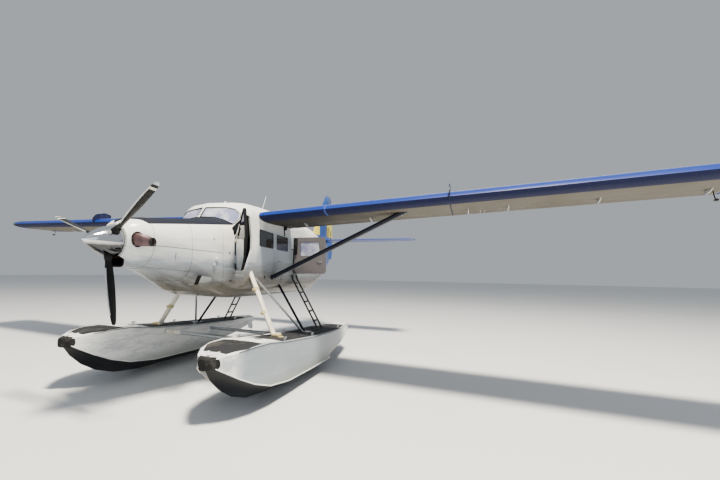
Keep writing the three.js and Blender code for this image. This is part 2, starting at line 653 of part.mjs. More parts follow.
// Floats
// Columns: y, keel z, chine z, chine half width, gunwale z, deck half width, deck z
const STEP_Y = 5250;
const FORE_RINGS = [
  [490, 800, 850, 80, 920, 60, 940],
  [640, 610, 760, 220, 962, 180, 982],
  [920, 400, 620, 350, 1003, 300, 1021],
  [1290, 220, 480, 430, 1032, 370, 1048],
  [1800, 80, 350, 465, 1030, 400, 1045],
  [2600, 0, 265, 470, 950, 405, 965],
  [4000, 0, 240, 470, 855, 405, 870],
  [STEP_Y, 0, 240, 468, 795, 402, 810],
];
const AFT_RINGS = [
  [STEP_Y - 150, 95, 300, 462, 801, 397, 816],
  [6400, 260, 400, 400, 765, 345, 780],
  [7400, 420, 500, 300, 745, 255, 760],
  [8050, 520, 560, 200, 730, 165, 745],
];
function floatRing([y, keel, chine, half, gunwale, deckHalf, deck]) {
  const side = [[half, chine], [half * 0.975, gunwale], [deckHalf, deck - 12], [deckHalf * 0.45, deck]];
  const other = side.map(([x, z]) => [-x, z]).reverse();
  return [[0, keel], ...side, ...other].map(([x, z]) => [FLOAT_X + x, y, z]);
}
const foreBody = throughRings(FORE_RINGS.map(floatRing));
const aftBody = throughRings(AFT_RINGS.map(floatRing));
const KEEL = { y: [2600, STEP_Y], width: 52, height: 30 };
const keelStrip = box(FLOAT_X - KEEL.width / 2, FLOAT_X + KEEL.width / 2, ...KEEL.y, 0, KEEL.height);
const floatHull = foreBody.add(aftBody).add(keelStrip);

// A rubber bumper wraps each bow. Columns: y, half width, bottom z, top z
const BUMPER_RINGS = [
  [415, 60, 785, 948],
  [470, 100, 772, 958],
  [560, 165, 765, 966],
  [612, 200, 768, 972],
];
const bumper = clearOf(
  throughRings(BUMPER_RINGS.map(([y, half, bottom, top]) => Array.from({ length: 12 }, (_, i) => {
    const a = (Math.PI * 2 * i) / 12;
    return [
      FLOAT_X + half * Math.sign(Math.cos(a)) * Math.sqrt(Math.abs(Math.cos(a))), y,
      (bottom + top) / 2 + ((top - bottom) / 2) * Math.sign(Math.sin(a)) * Math.sqrt(Math.abs(Math.sin(a))),
    ];
  }))),
  floatHull,
);

// Water rudders hang on posts at the float sterns
const WATER_RUDDER_Y = 8105;
const POST_RADIUS = 18;
const LUGS_Z = [545, 712];
const LUG = { radius: 26, half: 12 };
const atPost = (radius, z0, z1, sides = 12) =>
  bar([FLOAT_X, WATER_RUDDER_Y, z0], [FLOAT_X, WATER_RUDDER_Y, z1], 2 * radius, 2 * radius, [0, 1, 0], sides);
const rudderBlade = sidePrism(
  [[8090, 330], [8360, 250], [8420, 330], [8330, 640], [8090, 680]], FLOAT_X - 9, FLOAT_X + 9, 30);
const waterRudder = rudderBlade
  .subtract(atPost(LUG.radius + RUNNING_GAP, LUGS_Z[0] - LUG.half - 6, LUGS_Z[0] + LUG.half + GAP, 16))
  .add(atPost(POST_RADIUS, 400, 760));
const lugs = LUGS_Z.map((z) =>
  box(FLOAT_X - 22, FLOAT_X + 22, 8020, WATER_RUDDER_Y, z - LUG.half, z + LUG.half)
    .add(atPost(LUG.radius, z - LUG.half, z + LUG.half, 16))
    .subtract(atPost(POST_RADIUS + 1, z - 50, z + 50)));
const floatWithLugs = union([floatHull, ...lugs]);

// Float struts, from front to rear. Columns: top [x, y, z], foot [x, y, z], chord, thickness
const FLOAT_STRUTS = [
  [[700, 3580, 2320], [1550, 3190, 780], 175, 82],
  [[690, 3620, 2240], [1550, 4900, 740], 60, 48],
  [[690, 5150, 2030], [1550, 4930, 740], 84, 54],
];
const strutBars = FLOAT_STRUTS.map(([top, foot, chord, thickness]) => bar(top, foot, chord, thickness, [0, 1, 0], 12));
const FOOT_PLATE = { x: [1430, 1640], front: [3070, 3310], rear: [4780, 5050] };
const footPlate = ([y0, y1], z0, z1) => box(FOOT_PLATE.x[0], FOOT_PLATE.x[1], y0, y1, z0, z1);
const standing = (body) => clearOf(clearOf(body, cabinOuter), floatHull);
const floatStruts = {
  front_float_strut: standing(strutBars[0].add(footPlate(FOOT_PLATE.front, 880, 955))),
  rear_float_struts: standing(union([strutBars[1], strutBars[2], footPlate(FOOT_PLATE.rear, 780, 850)])),
};

// Spreader bars hold the floats apart
const SPREADER_Y = [3000, 4950];
const SPREADER_Z = [830, 700];
const spreaders = SPREADER_Y.map((y, i) => {
  const across = bar([-FLOAT_X, y, SPREADER_Z[i]], [FLOAT_X, y, SPREADER_Z[i]], 130, 80, [0, 1, 0], 16);
  return clearOf(clearOf(across, floatHull), mirrored(floatHull));
});

// Ladders lead from the float decks to the cabin doors
const LADDER = { y: { port: 5950, starboard: 6400 }, width: 340, rail: 36, rungs: 5 };
const LADDER_ENDS = { x: [820, 1500], z: [2060, 780] };
function ladder(y) {
  const at = (share, along) => {
    const [x, z] = [LADDER_ENDS.x, LADDER_ENDS.z].map(([top, foot]) => top + (foot - top) * share);
    return [x, y + along, z];
  };
  const rails = [0, LADDER.width].map((along) => bar(at(-0.05, along), at(1, along), LADDER.rail, LADDER.rail));
  const rungs = Array.from({ length: LADDER.rungs }, (_, i) => {
    const share = (i + 0.6) / (LADDER.rungs + 0.4);
    return bar(at(share, 0), at(share, LADDER.width), 44, 26, [1, 0, 0]);
  });
  return standing(union([...rails, ...rungs]));
}

// Doors, closed in their openings, then swung to where they stand open
const KNUCKLE = { radius: 9, outside: 12, height: 45, tab: 34 };
// Columns: skin x at the hinge, hinge y, which way the leaf lies from it, heights of the hinges
const HINGES = {
  pilot: { skin: 796, y: 2760, leaf: 1, z: [2330, 2780] },
  front: { skin: 795, y: FRONT_LEAF_Y[0], leaf: 1, z: [2350, 2930] },
  rear: { skin: 767, y: REAR_LEAF_Y[1], leaf: -1, z: [2350, 2930] },
  starboard: { skin: 790, y: STARBOARD_DOOR_Y[0], leaf: 1, z: [2350, 2930] },
};
const hingeLine = ({ skin, y }) => [skin + KNUCKLE.outside, y];

// One half of each hinge: a knuckle on the hinge line and the tab that carries it.
function hingeHalf(hinge, towards, lift) {
  const [x, y] = hingeLine(hinge);
  const [near, far] = [y + towards * GAP, y + towards * KNUCKLE.tab].sort((a, b) => a - b);
  return union(hinge.z.map((low) => {
    const [z0, z1] = [low + lift, low + lift + KNUCKLE.height];
    return bar([x, y, z0], [x, y, z1], 2 * KNUCKLE.radius, 2 * KNUCKLE.radius, [0, 1, 0], 10)
      .add(box(hinge.skin - 12, x, near, far, z0, z1));
  }));
}
const leafHinge = (hinge) => hingeHalf(hinge, hinge.leaf, 0);
const frameHinge = (hinge) => hingeHalf(hinge, -hinge.leaf, KNUCKLE.height + GAP);

for (const [name, side] of [["pilot", 1], ["pilot", -1], ["front", 1], ["rear", 1], ["starboard", -1]])
  fuselage = fuselage.add(onSide(side, frameHinge(HINGES[name])));

const leafSkin = cabinOuter.subtract(cabinInner);
function leaf(outline, pane, radius, hinge) {
  const panel = leafSkin.intersect(cut(inward(outline, RUNNING_GAP), 1, radius));
  return largestPiece(panel.subtract(cut(pane, 1)).add(leafHinge(hinge)));
}
const paneIn = (outline, side) => largestPiece(cabinPaneSkin.intersect(cut(inward(outline, GAP), side)));
const paneOf = ([y0, y1]) => upright([y0 + DOOR_PANE_MARGIN, y1 - DOOR_PANE_MARGIN], DOOR_PANE_Z);
const REAR_PANE = upright([REAR_LEAF_Y[0] + 80, REAR_LEAF_Y[1] - 80], DOOR_PANE_Z);
const PILOT_DOOR_OPEN = 138; // degrees, swung right forward
const FRONT_LEAF_OPEN = 85;
const LEAF_ROUND = 100;
const openPilotDoor = (body) => turnedAboutZ(body, ...hingeLine(HINGES.pilot), -PILOT_DOOR_OPEN);
const openFrontLeaf = (body) => turnedAboutZ(body, ...hingeLine(HINGES.front), -FRONT_LEAF_OPEN);

// Inside the cabin
const inside = bodyShape(CABIN_RINGS, WALL + GAP);
const BULKHEAD_Y = CABIN_END_Y - 60;
const cabinFloor = inside.intersect(
  box(-900, 900, FIRE_WALL_Y + WALL + GAP, BULKHEAD_Y, FLOOR_TOP_Z - 40, FLOOR_TOP_Z)
    .add(box(-900, 900, BULKHEAD_Y, BULKHEAD_Y + 30, 0, everything)),
);
const instrumentPanel = inside.intersect(
  sidePrism([[2300, 2830], [2560, 2700], [2600, 2720], [2500, 3160], [2660, 3210], [2640, 3240], [2300, 3230]],
    -700, 700),
).add(inside.intersect(box(-120, 120, 2300, 2520, FLOOR_TOP_Z + GAP, 2900)));

const onFloor = FLOOR_TOP_Z + GAP;
const controls = union([
  box(-60, 60, 2590, 2720, onFloor, onFloor + 40),
  bar([0, 2650, onFloor + 20], [0, 2700, onFloor + 560], 50, 50),
  bar([-380, 2720, onFloor + 560], [380, 2720, onFloor + 560], 44, 44, [0, 1, 0]),
  ...[-380, 380].flatMap((x) => [
    bar([x - 130, 2720, onFloor + 600], [x + 130, 2720, onFloor + 600], 40, 90),
    bar([x, 2720, onFloor + 590], [x, 2540, onFloor + 630], 44, 44),
  ]),
]);

function seatBody(x, y, width, back) {
  return union([
    box(x - width / 2, x + width / 2, y, y + 460, onFloor + 260, onFloor + 400),
    sidePrism(
      [[y + 380, onFloor + 300], [y + 470, onFloor + 300], [y + 580, onFloor + back], [y + 480, onFloor + back]],
      x - width / 2, x + width / 2, 35,
    ),
  ]);
}
const PILOT_SEAT = { x: 390, y: 2980, width: 480, back: 980 };
const pilotSeat = union([
  seatBody(PILOT_SEAT.x, PILOT_SEAT.y, PILOT_SEAT.width, PILOT_SEAT.back),
  box(PILOT_SEAT.x - 150, PILOT_SEAT.x + 150, PILOT_SEAT.y + 60, PILOT_SEAT.y + 380, onFloor, onFloor + 280),
]);
const SEAT_ROWS_Y = [3800, 4560, 5320];
const ROW_SEAT = { x: 460, width: 430, back: 900, rail: 34 };
const seatRow = union([
  ...SEAT_ROWS_Y.map((y) => seatBody(ROW_SEAT.x, y, ROW_SEAT.width, ROW_SEAT.back)),
  ...SEAT_ROWS_Y.flatMap((y) =>
    [ROW_SEAT.x - 170, ROW_SEAT.x + 170].flatMap((x) =>
      [y + 60, y + 420].map((leg) => box(x - 13, x + 13, leg - 13, leg + 13, onFloor + 10, onFloor + 280)))),
  ...[ROW_SEAT.x - 170, ROW_SEAT.x + 170].map((x) =>
    box(x - ROW_SEAT.rail / 2, x + ROW_SEAT.rail / 2, SEAT_ROWS_Y[0] - 60, SEAT_ROWS_Y.at(-1) + 620,
      onFloor, onFloor + 20)),
]);

// All pieces
add("fuselage", largestPiece(fuselage.intersect(aheadOf(CABIN_END_Y))), paint(WHITE));
add("tail_cone", tailCone, paint(BLUE));
add("cabin_floor", cabinFloor, paint(0x6d6a66, 0.8, 0));
add("instrument_panel", instrumentPanel.add(controls), paint(BLACK, 0.7, 0));
add("cowling", cowling, paint(WHITE));
add("engine", engine, paint(0x55585c, 0.5, 0.7));
add("chin_intake", chinIntake, paint(0x2a2220, 0.8, 0));
add("oil_cooler_scoop", oilScoop, paint(WHITE));
add("propeller", propeller, paint(BLACK, 0.4, 0.3));
add("spinner", spinner, paint(0xd8dadd, 0.08, 1));
add("stabilizer", stabilizer, paint(BLUE));
add("elevator", elevator, paint(BLUE));
add("fin", fin, paint(YELLOW));
add("rudder", rudder, paint(YELLOW));
spreaders.forEach((body, i) => add(["front", "rear"][i] + "_spreader_bar", body, paint(SILVER, 0.35, 0.8)));

for (const [name, side] of Object.entries(SIDES)) {
  add(`wing_${name}`, onSide(side, wing), paint(WHITE));
  add(`flap_${name}`, onSide(side, trailingSurface(FLAP_X)), paint(WHITE));
  add(`aileron_${name}`, onSide(side, trailingSurface(AILERON_X)), paint(WHITE));
  add(`lift_strut_${name}`, onSide(side, liftStrut), paint(NAVY));
  add(`exhaust_${name}`, onSide(side, exhaustStub), paint(0x7a5a4c, 0.5, 0.8));
  add(`windscreen_${name}`, largestPiece(cabinPaneSkin.intersect(screenCut(side, GAP))), glassPaint());
  for (const [place, outline] of Object.entries(SIDE_WINDOWS))
    add(`window_${place}_${name}`, paneIn(outline, side), glassPaint());
  add(`float_${name}`, onSide(side, floatWithLugs), paint(FLOAT_GREY, 0.45, 0.4));
  add(`bow_bumper_${name}`, onSide(side, bumper), paint(BLACK, 0.9, 0));
  add(`water_rudder_${name}`, onSide(side, waterRudder), paint(SILVER, 0.45, 0.7));
  for (const [strut, body] of Object.entries(floatStruts))
    add(`${strut}_${name}`, onSide(side, body), paint(strut.startsWith("front") ? WHITE : SILVER));
  add(`ladder_${name}`, onSide(side, ladder(LADDER.y[name])), paint(SILVER, 0.4, 0.7));
  add(`pilot_seat_${name}`, onSide(side, pilotSeat), paint(SEAT_BLUE, 0.8, 0));
  add(`passenger_seats_${name}`, onSide(side, seatRow), paint(SEAT_BLUE, 0.8, 0));
}

const pilotLeaf = leaf(PILOT_DOOR, PILOT_PANE, WINDOW_ROUND, HINGES.pilot);
const pilotGlass = paneIn(PILOT_PANE, 1);
add("pilot_door_port", openPilotDoor(pilotLeaf), paint(WHITE));
add("pilot_door_glass_port", openPilotDoor(pilotGlass), glassPaint());
add("pilot_door_starboard", mirrored(pilotLeaf), paint(WHITE));
add("pilot_door_glass_starboard", mirrored(pilotGlass), glassPaint());
// Columns: name of the leaf, name of its pane, y range, pane outline, hinge, how it is placed
const CABIN_LEAVES = [
  ["cabin_door_front_leaf", "cabin_door_front_glass", FRONT_LEAF_Y, paneOf(FRONT_LEAF_Y), HINGES.front, openFrontLeaf],
  ["cabin_door_rear_leaf", "cabin_door_rear_glass", REAR_LEAF_Y, REAR_PANE, HINGES.rear, (body) => body],
  ["cabin_door_starboard", "cabin_door_glass_starboard", STARBOARD_DOOR_Y, paneOf(STARBOARD_DOOR_Y),
    HINGES.starboard, mirrored],
];
for (const [leafName, glassName, range, pane, hinge, place] of CABIN_LEAVES) {
  add(leafName, place(leaf(upright(range, CABIN_DOOR_Z), pane, LEAF_ROUND, hinge)), paint(WHITE));
  add(glassName, place(paneIn(pane, 1)), glassPaint());
}

aircraft.position.y = -(SPINNER_TIP_Y + TAIL_END_Y) / 2;

export default aircraft;
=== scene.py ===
import json
import math
from functools import partial

import bmesh
import bpy
from bpy.props import FloatProperty, FloatVectorProperty, IntProperty, PointerProperty
from mathutils import Matrix, Vector
from mathutils.bvhtree import BVHTree

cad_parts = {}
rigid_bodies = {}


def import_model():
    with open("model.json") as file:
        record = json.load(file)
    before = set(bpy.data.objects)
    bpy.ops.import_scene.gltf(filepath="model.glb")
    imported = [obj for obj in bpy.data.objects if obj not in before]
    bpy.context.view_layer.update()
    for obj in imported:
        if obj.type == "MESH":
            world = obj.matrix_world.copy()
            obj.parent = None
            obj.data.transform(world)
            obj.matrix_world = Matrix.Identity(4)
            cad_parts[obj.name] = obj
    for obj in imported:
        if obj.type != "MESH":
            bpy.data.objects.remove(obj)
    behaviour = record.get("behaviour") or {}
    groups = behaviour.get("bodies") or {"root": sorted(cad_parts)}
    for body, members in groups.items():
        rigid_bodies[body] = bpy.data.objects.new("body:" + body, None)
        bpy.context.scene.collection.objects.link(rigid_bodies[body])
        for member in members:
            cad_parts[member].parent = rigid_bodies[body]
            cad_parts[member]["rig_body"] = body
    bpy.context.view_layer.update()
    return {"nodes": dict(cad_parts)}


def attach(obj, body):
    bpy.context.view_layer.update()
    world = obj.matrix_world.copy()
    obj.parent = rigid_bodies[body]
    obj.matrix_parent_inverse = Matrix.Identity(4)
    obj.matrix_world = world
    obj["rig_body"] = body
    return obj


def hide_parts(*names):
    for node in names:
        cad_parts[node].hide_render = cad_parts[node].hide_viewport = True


bl_info = {
    "name": "Utility floatplane",
    "version": (1, 0, 0),
    "blender": (4, 5, 0),
    "location": "3D View > Sidebar > Floatplane",
    "description": "Dresses the packed floatplane: paint, glass, fittings, seats and studio",
    "category": "Object",
}

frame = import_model()
SIDES = {"port": 1, "starboard": -1}
PROPELLER_Y = -6.125  # stations are counted aft from the propeller's plane
HUB = Vector((0, PROPELLER_Y, 2.663))
CABIN_Z = 2.75  # height of the cabin's middle line
FLOAT_X = 1.545  # from the middle line to a float's own
PORT, AFT, UP, DOWN = Vector((1, 0, 0)), Vector((0, 1, 0)), Vector((0, 0, 1)), Vector((0, 0, -1))
MIRROR = Matrix.Diagonal((-1, 1, 1, 1))


def at(x, station, z):
    """A point given by its distance aft of the propeller's plane."""
    return Vector((x, station + PROPELLER_Y, z))


# Settings


def linear(hex_colour):
    """A #rrggbb sRGB colour as linear RGBA."""
    parts = [int(hex_colour[i : i + 2], 16) / 255 for i in (1, 3, 5)]
    return [c / 12.92 if c <= 0.04045 else ((c + 0.055) / 1.055) ** 2.4 for c in parts] + [1.0]


def paint_setting(name, hex_colour, description):
    return FloatVectorProperty(
        name=name, description=description, subtype="COLOR", size=4, min=0, max=1, default=linear(hex_colour)
    )


class FloatplaneColours(bpy.types.PropertyGroup):
    """Paint and trim colours."""

    white: paint_setting("White", "#F1F0EB", "Fuselage, cowling and upper wing enamel")
    anti_glare: paint_setting("Anti-glare", "#0C1323", "Dull panel ahead of the windscreen")
    blue: paint_setting("Blue", "#0F2D7E", "Wing leading edges and tips")
    # navy also paints the shade on the lower half of the leading edges
    navy: paint_setting("Navy", "#0A1238", "Lower half of the leading edges, and the fences")
    deep_blue: paint_setting("Rear blue", "#124A9E", "Rear fuselage and foot of the fin")
    sky: paint_setting("Light blue", "#00428A", "Bands and top of the fin")
    yellow: paint_setting("Yellow", "#E3D24A", "Fin and rudder")
    # the underside colour is grey-tan darkened to stand for the shade under the wings: painted shade
    underside: paint_setting("Underside", "#615C52", "Underside of the wings")
    float_grey: paint_setting("Float grey", "#EBEDEC", "Float sides")
    float_bottom: paint_setting("Float bottom", "#0B0D10", "Float planing bottoms")
    cloth: paint_setting("Seat cloth", "#39506F", "Seat cushions and backs")


class FloatplaneSizes(bpy.types.PropertyGroup):
    """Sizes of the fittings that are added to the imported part, and of the studio."""

    seal: FloatProperty(name="Window seal", description="Radius of the rubber seals", default=0.010, unit="LENGTH")
    seam: FloatProperty(name="Seam", description="Radius of the sealed skin joints", default=0.003, unit="LENGTH")
    turns: IntProperty(
        name="Round steps", description="Sides of the finest round pieces", default=72, min=16, max=128)
    floor: FloatProperty(name="Floor", description="Width of the studio floor", default=240.0, unit="LENGTH")
    lens: FloatProperty(name="Lens", description="Focal length of the camera, in millimetres", default=20.697)


def colours():
    return bpy.context.scene.floatplane_colours


def sizes():
    return bpy.context.scene.floatplane_sizes


# Materials


def add(tree, kind, inputs=None, out=0, **settings):
    """Adds one shader node with its settings, values and links, and gives back one of its outputs. A #rrggbb
    text stands for its colour."""
    made = tree.nodes.new("ShaderNode" + kind)
    for name, value in settings.items():
        setattr(made, name, value)
    for socket, value in (inputs or {}).items():
        if isinstance(value, bpy.types.NodeSocket):
            tree.links.new(value, made.inputs[socket])
        else:
            made.inputs[socket].default_value = linear(value) if isinstance(value, str) else value
    return made.outputs[out] if made.outputs else made


def blank(name):
    """A new material with no nodes, the function that adds them to it, and its object coordinates."""
    made = bpy.data.materials.new(name)
    made.use_nodes = True
    made.node_tree.nodes.clear()
    node = partial(add, made.node_tree)
    return made, node, node("TexCoord", out="Object")


def layered(node, base, layers):
    """Lays each (mask, colour) over the colours before it."""
    for mask, colour in layers:
        base = node("Mix", {0: mask, 6: base, 7: colour}, out=2, data_type="RGBA")
    return base


def riveted(node, along, spacing, across, gap):
    """Rows of 4 mm rivets, drawn at 9 mm so that they show: a spacing apart in rows that are a gap apart."""
    lines = [
        node("MapRange", {0: node("Math", {0: value, 1: step / 2}, operation="PINGPONG"), 1: 0.0045, 2: 0.003})
        for value, step in ((along, spacing), (across, gap))
    ]
    return node("Math", {0: lines[0], 1: lines[1]}, operation="MULTIPLY")


# Columns: name, colour, worn colour, patches per metre, how much shows, grain per metre, grain relief in
# metres, roughness, metallic
WORN = {
    # Drawn tube gone dull outdoors: soft silver, grey oxide in cloudy patches
    "aluminium": ("aluminium_drawn_weathered", "#BBBEC0", "#7C8082", 11, 0.6, 60, 0.0002, 0.36, 0.9),
    # Old black paint over steel fittings, rubbed to grey on the parts that hands and ropes touch
    "dark_steel": ("steel_painted_black", "#17181B", "#4C4C4A", 20, 0.6, 90, 0.0002, 0.45, 0.25),
    # Moulded lip of the chin intake: dull, brown where exhaust dust has settled
    "intake": ("rubber_moulded_intake", "#0D0A0B", "#40261C", 8, 0.7, 120, 0.0004, 0.6, 0.0),
    # Black rubber seals and fenders, matt, grey with salt where they stand out
    "rubber": ("rubber_black_weathered", "#111214", "#303236", 14, 0.6, 140, 0.0004, 0.7, 0.0),
    # Thick bumper rubber, brown-black, chafed pale where it meets docks
    "bumper": ("rubber_bumper_chafed", "#1B1B1C", "#4C4947", 6, 0.7, 110, 0.0005, 0.75, 0.0),
    # Lining of padded vinyl on the walls and doors: soft sheen, leather grain drawn at about 4 mm
    "lining": ("vinyl_lining_grey", "#6C6B67", "#52504C", 3, 0.5, 240, 0.0005, 0.55, 0.0),
    # Lining and seals on the backs of the crew doors made near-black as painted shade, dark enough to read as one
    # with the shaded doorway
    "shade_lining": ("vinyl_lining_painted_shade", "#0D0E11", "#1B1C20", 3, 0.5, 240, 0.0005, 0.75, 0.0),
    # Smoked quarter windows beside the windscreen, backed in black: deep gloss
    "dark_pane": ("acrylic_quarter_window_dark", "#07090C", "#12151A", 4, 0.5, 200, 0.0, 0.08, 0.0),
    # Plywood floor under grey paint, scuffed along the aisle
    "floor": ("plywood_painted_floor", "#55534F", "#7A766F", 4, 0.6, 90, 0.0004, 0.65, 0.0),
    # Wrinkle-finish paint on the instrument panel, drawn at about 5 mm
    "panel": ("wrinkle_paint_black", "#17181B", "#2A2B2E", 6, 0.4, 200, 0.0006, 0.62, 0.0),
    # Printed dial faces behind flat glass
    "dial": ("dial_face_printed", "#0C0D10", "#141519", 30, 0.5, 300, 0.0, 0.2, 0.0),
    # White paint of the dials' marks and needles
    "marks": ("dial_paint_white", "#D9DAD3", "#C5C6BE", 60, 0.5, 300, 0.0, 0.5, 0.0),
    # Navy enamel on extruded struts: almost black, satin, with a dusty bloom
    "strut": ("enamel_navy_strut", "#0D1120", "#20263A", 3, 0.5, 60, 0.0003, 0.4, 0.0),
    # Thick cream enamel on the front float struts, yellowed near the fittings
    "cream": ("enamel_cream_strut", "#EFEBDD", "#BFAE84", 5, 0.6, 60, 0.0002, 0.36, 0.0),
    # Straw-coloured enamel on the strut feet, stained by rope and salt water
    "foot": ("enamel_straw_fitting", "#CDBF8E", "#8C7A4C", 12, 0.7, 90, 0.0003, 0.5, 0.0),
    # Outer face of the folded front leaf of the cabin door: its enamel painted grey as the wing's shade, with taupe
    # patches
    "leaf_shade_enamel": ("enamel_door_leaf_painted_shade", "#625F63", "#4E4A4B", 4, 0.6, 60, 0.0001, 0.5, 0.0),
    # White gelcoat on antennas, bow plates and chine strips
    "white_plastic": ("gelcoat_white", "#E6E6E2", "#B9B8B0", 9, 0.5, 80, 0.0001, 0.35, 0.0),
    # The blades' other faces: the same satin black with no band
    "blade_back": ("polyurethane_black_blade_back", "#08090B", "#26272A", 14, 0.3, 90, 0.0003, 0.4, 0.0),
    # Dead black, flaking grey: baked soot, and painted shade where it closes the exhausts and fills the cooler's
    # mouth
    "soot_and_shade": ("soot_and_painted_shade_black", "#060606", "#1B1918", 12, 0.5, 90, 0.0004, 0.95, 0.0),
    # Stainless pipe left bare, bright, with hairline brushing
    "stainless": ("stainless_brushed", "#C9CBCD", "#8B8E90", 25, 0.5, 300, 0.0001, 0.25, 1.0),
}


def worn_finish(key):
    """A finish of two tones in soft patches, with its own fine grain."""
    name, colour, worn, patches, share, grain, relief, roughness, metallic = WORN[key]
    made, node, place = blank(name)
    cloud = node("TexNoise", {"Vector": place, "Scale": patches, "Detail": 5.0, "Roughness": 0.65})
    fine = node("TexNoise", {"Vector": place, "Scale": grain, "Detail": 2.0})
    inputs = {
        # a grain 0.3 mm deep or more scatters most of what a smooth face mirrors
        "Specular IOR Level": 0.5 if relief < 0.0003 else 0.15,
        "Base Color": layered(node, colour, [(node("MapRange", {0: cloud, 1: 0.5, 2: 0.72, 4: share}), worn)]),
        "Roughness": node("MapRange", {0: fine, 1: 0.3, 2: 0.7, 3: roughness - 0.06, 4: roughness + 0.08}),
        "Metallic": metallic,
    }
    if relief:
        inputs["Normal"] = node("Bump", {"Height": fine, "Distance": relief})
    node("OutputMaterial", {"Surface": node("BsdfPrincipled", inputs)})
    return made


# Columns: name, colour, second tone, patches per metre, detail of the patches, where the second tone begins and
# is full, how much shows, where the roughness begins and ends to rise, its least and most, transmission
ACRYLIC = {
    # Cast sheet, lightly smoked: clear, hard in its reflections, with fine cleaning haze
    "acrylic": ("acrylic_cast_smoked", "#27323B", "#1D252C", 6.0, 4.0, 0.4, 0.8, 0.3, 0.35, 0.8, 0.0, 0.07, 0.93),
    # Windscreen of clear sheet made pale, milky and only partly clear: a painted reflection of the sky
    "screen": ("acrylic_painted_sky_reflection", "#DADBEA", "#8790B8", 3.0, 3.0, 0.38, 0.58, 0.9, 0.35, 0.8, 0.02, 0.1, 0.3),
    # Moulded lenses of the lights: coloured, glassy, faintly frosted inside
    "red_lens": ("acrylic_lens_red", "#B3141A", "#FFFFFF", 60.0, 2.0, 0.5, 0.8, 0.3, 0.0, 1.0, 0.05, 0.2, 0.4),
    "green_lens": ("acrylic_lens_green", "#148A4A", "#FFFFFF", 60.0, 2.0, 0.5, 0.8, 0.3, 0.0, 1.0, 0.05, 0.2, 0.4),
}


def acrylic_finish(key):
    """Clear acrylic of two tones, hazed in patches."""
    name, colour, tone, scale, detail, begin, full, share, low, high, least, most, transmission = ACRYLIC[key]
    made, node, place = blank(name)
    haze = node("TexNoise", {"Vector": place, "Scale": scale, "Detail": detail})
    node("OutputMaterial", {"Surface": node("BsdfPrincipled", {
        "Base Color": layered(node, colour, [(node("MapRange", {0: haze, 1: begin, 2: full, 4: share}), tone)]),
        "Roughness": node("MapRange", {0: haze, 1: low, 2: high, 3: least, 4: most}),
        "Transmission Weight": transmission, "IOR": 1.49,
    })})
    return made


def fuselage_enamel():
    """Two-pack enamel sprayed over riveted aluminium sheet. White and softly glossy on top, with a dull navy panel
    ahead of the windscreen and blue aft. The lower flanks are painted shade in blue-grey, which reaches higher along
    the cabin where the wing's shadow falls, and the belly is brown grime, streaked and darkened further as painted
    shade."""
    c = colours()
    made, node, place = blank("enamel_on_aluminium_fuselage")
    x, y, z = node("SeparateXYZ", {0: place}).node.outputs
    aside = node("Math", {0: x}, operation="ABSOLUTE")
    # the shoulder line of the navy panel rises aft; its front is cut to a wide point, its rear at the windscreen
    shoulder = node("VectorMath", {0: place, 1: (0, -0.0856, 1)}, out="Value", operation="DOT_PRODUCT")
    navy = node("MapRange", {0: shoulder, 1: 3.4464, 2: 3.4544})
    for slope, begin, full in ((-1.05, -5.985, -5.975), (-0.29, -3.518, -3.526)):
        cut = node("Math", {0: aside, 1: slope, 2: y}, operation="MULTIPLY_ADD")
        navy = node("Math", {0: navy, 1: node("MapRange", {0: cut, 1: begin, 2: full})}, operation="MULTIPLY")
    slant = node("VectorMath", {0: place, 1: (0, 1, 0.55)}, out="Value", operation="DOT_PRODUCT")
    rear = node("MapRange", {0: slant, 1: 4.85, 2: 4.865})
    # long streaks, heaviest below: they break up the painted shade of the lower flanks and the belly's grime and
    # painted shade
    streak_place = node("Mapping", {0: place, "Scale": (1.0, 0.14, 1.8)})
    streaks = node("TexNoise", {"Vector": streak_place, "Scale": 2.2, "Detail": 6.0, "Roughness": 0.72})
    low = node("Math", {0: streaks, 1: 0.9, 2: z}, operation="MULTIPLY_ADD")
    # belly: brown grime, darkened further as painted shade
    belly = node("MapRange", {0: low, 1: 2.95, 2: 2.4, 4: 0.9})
    # the painted shade reaches higher along the cabin, behind the crew doors, where the wing's shadow falls
    begun = node("MapRange", {0: y, 1: -2.4, 2: -1.9, 4: 0.75})
    climb = node("Math", {0: begun, 1: node("MapRange", {0: y, 1: 2.4, 2: 0.8})}, operation="MULTIPLY")
    shade_line = node("Math", {0: low, 1: climb}, operation="SUBTRACT")
    # painted shade: the lower flanks turn blue-grey, #8B99A7
    flank_shade = node("MapRange", {0: shade_line, 1: 3.3, 2: 2.8, 4: 0.88})
    fade = node("TexNoise", {"Vector": place, "Scale": 1.1, "Detail": 3.0})
    chalk = node("MapRange", {0: fade, 1: 0.45, 2: 0.7, 4: 0.16})
    # frames 0.46 m apart, and stringers
    frames, stringers = riveted(node, z, 0.05, y, 0.46), riveted(node, y, 0.05, z, 0.58)
    rivets = node("Math", {0: frames, 1: stringers}, operation="MAXIMUM")
    faint = node("Math", {0: rivets, 1: 0.4}, operation="MULTIPLY")
    sheet = node("TexNoise", {"Vector": place, "Scale": 2.2, "Detail": 1.0})
    relief = node("Math", {0: sheet, 1: 3.0, 2: rivets}, operation="MULTIPLY_ADD")
    gloss = node("Math", {0: fade, 1: 0.2, 2: 0.14}, operation="MULTIPLY_ADD")
    node("OutputMaterial", {"Surface": node("BsdfPrincipled", {
        "Base Color": layered(node, c.white, [
            (chalk, "#D9D8D2"), (flank_shade, "#8B99A7"), (rear, c.deep_blue), (navy, c.anti_glare),
            (belly, "#4C4538"), (faint, "#64665F"),
        ]),
        "Roughness": node("Math", {0: navy, 1: 0.6, 2: gloss}, operation="MULTIPLY_ADD"),
        "Specular IOR Level": 0.25,
        "Normal": node("Bump", {"Height": relief, "Distance": 0.0012}),
    })})
    return made


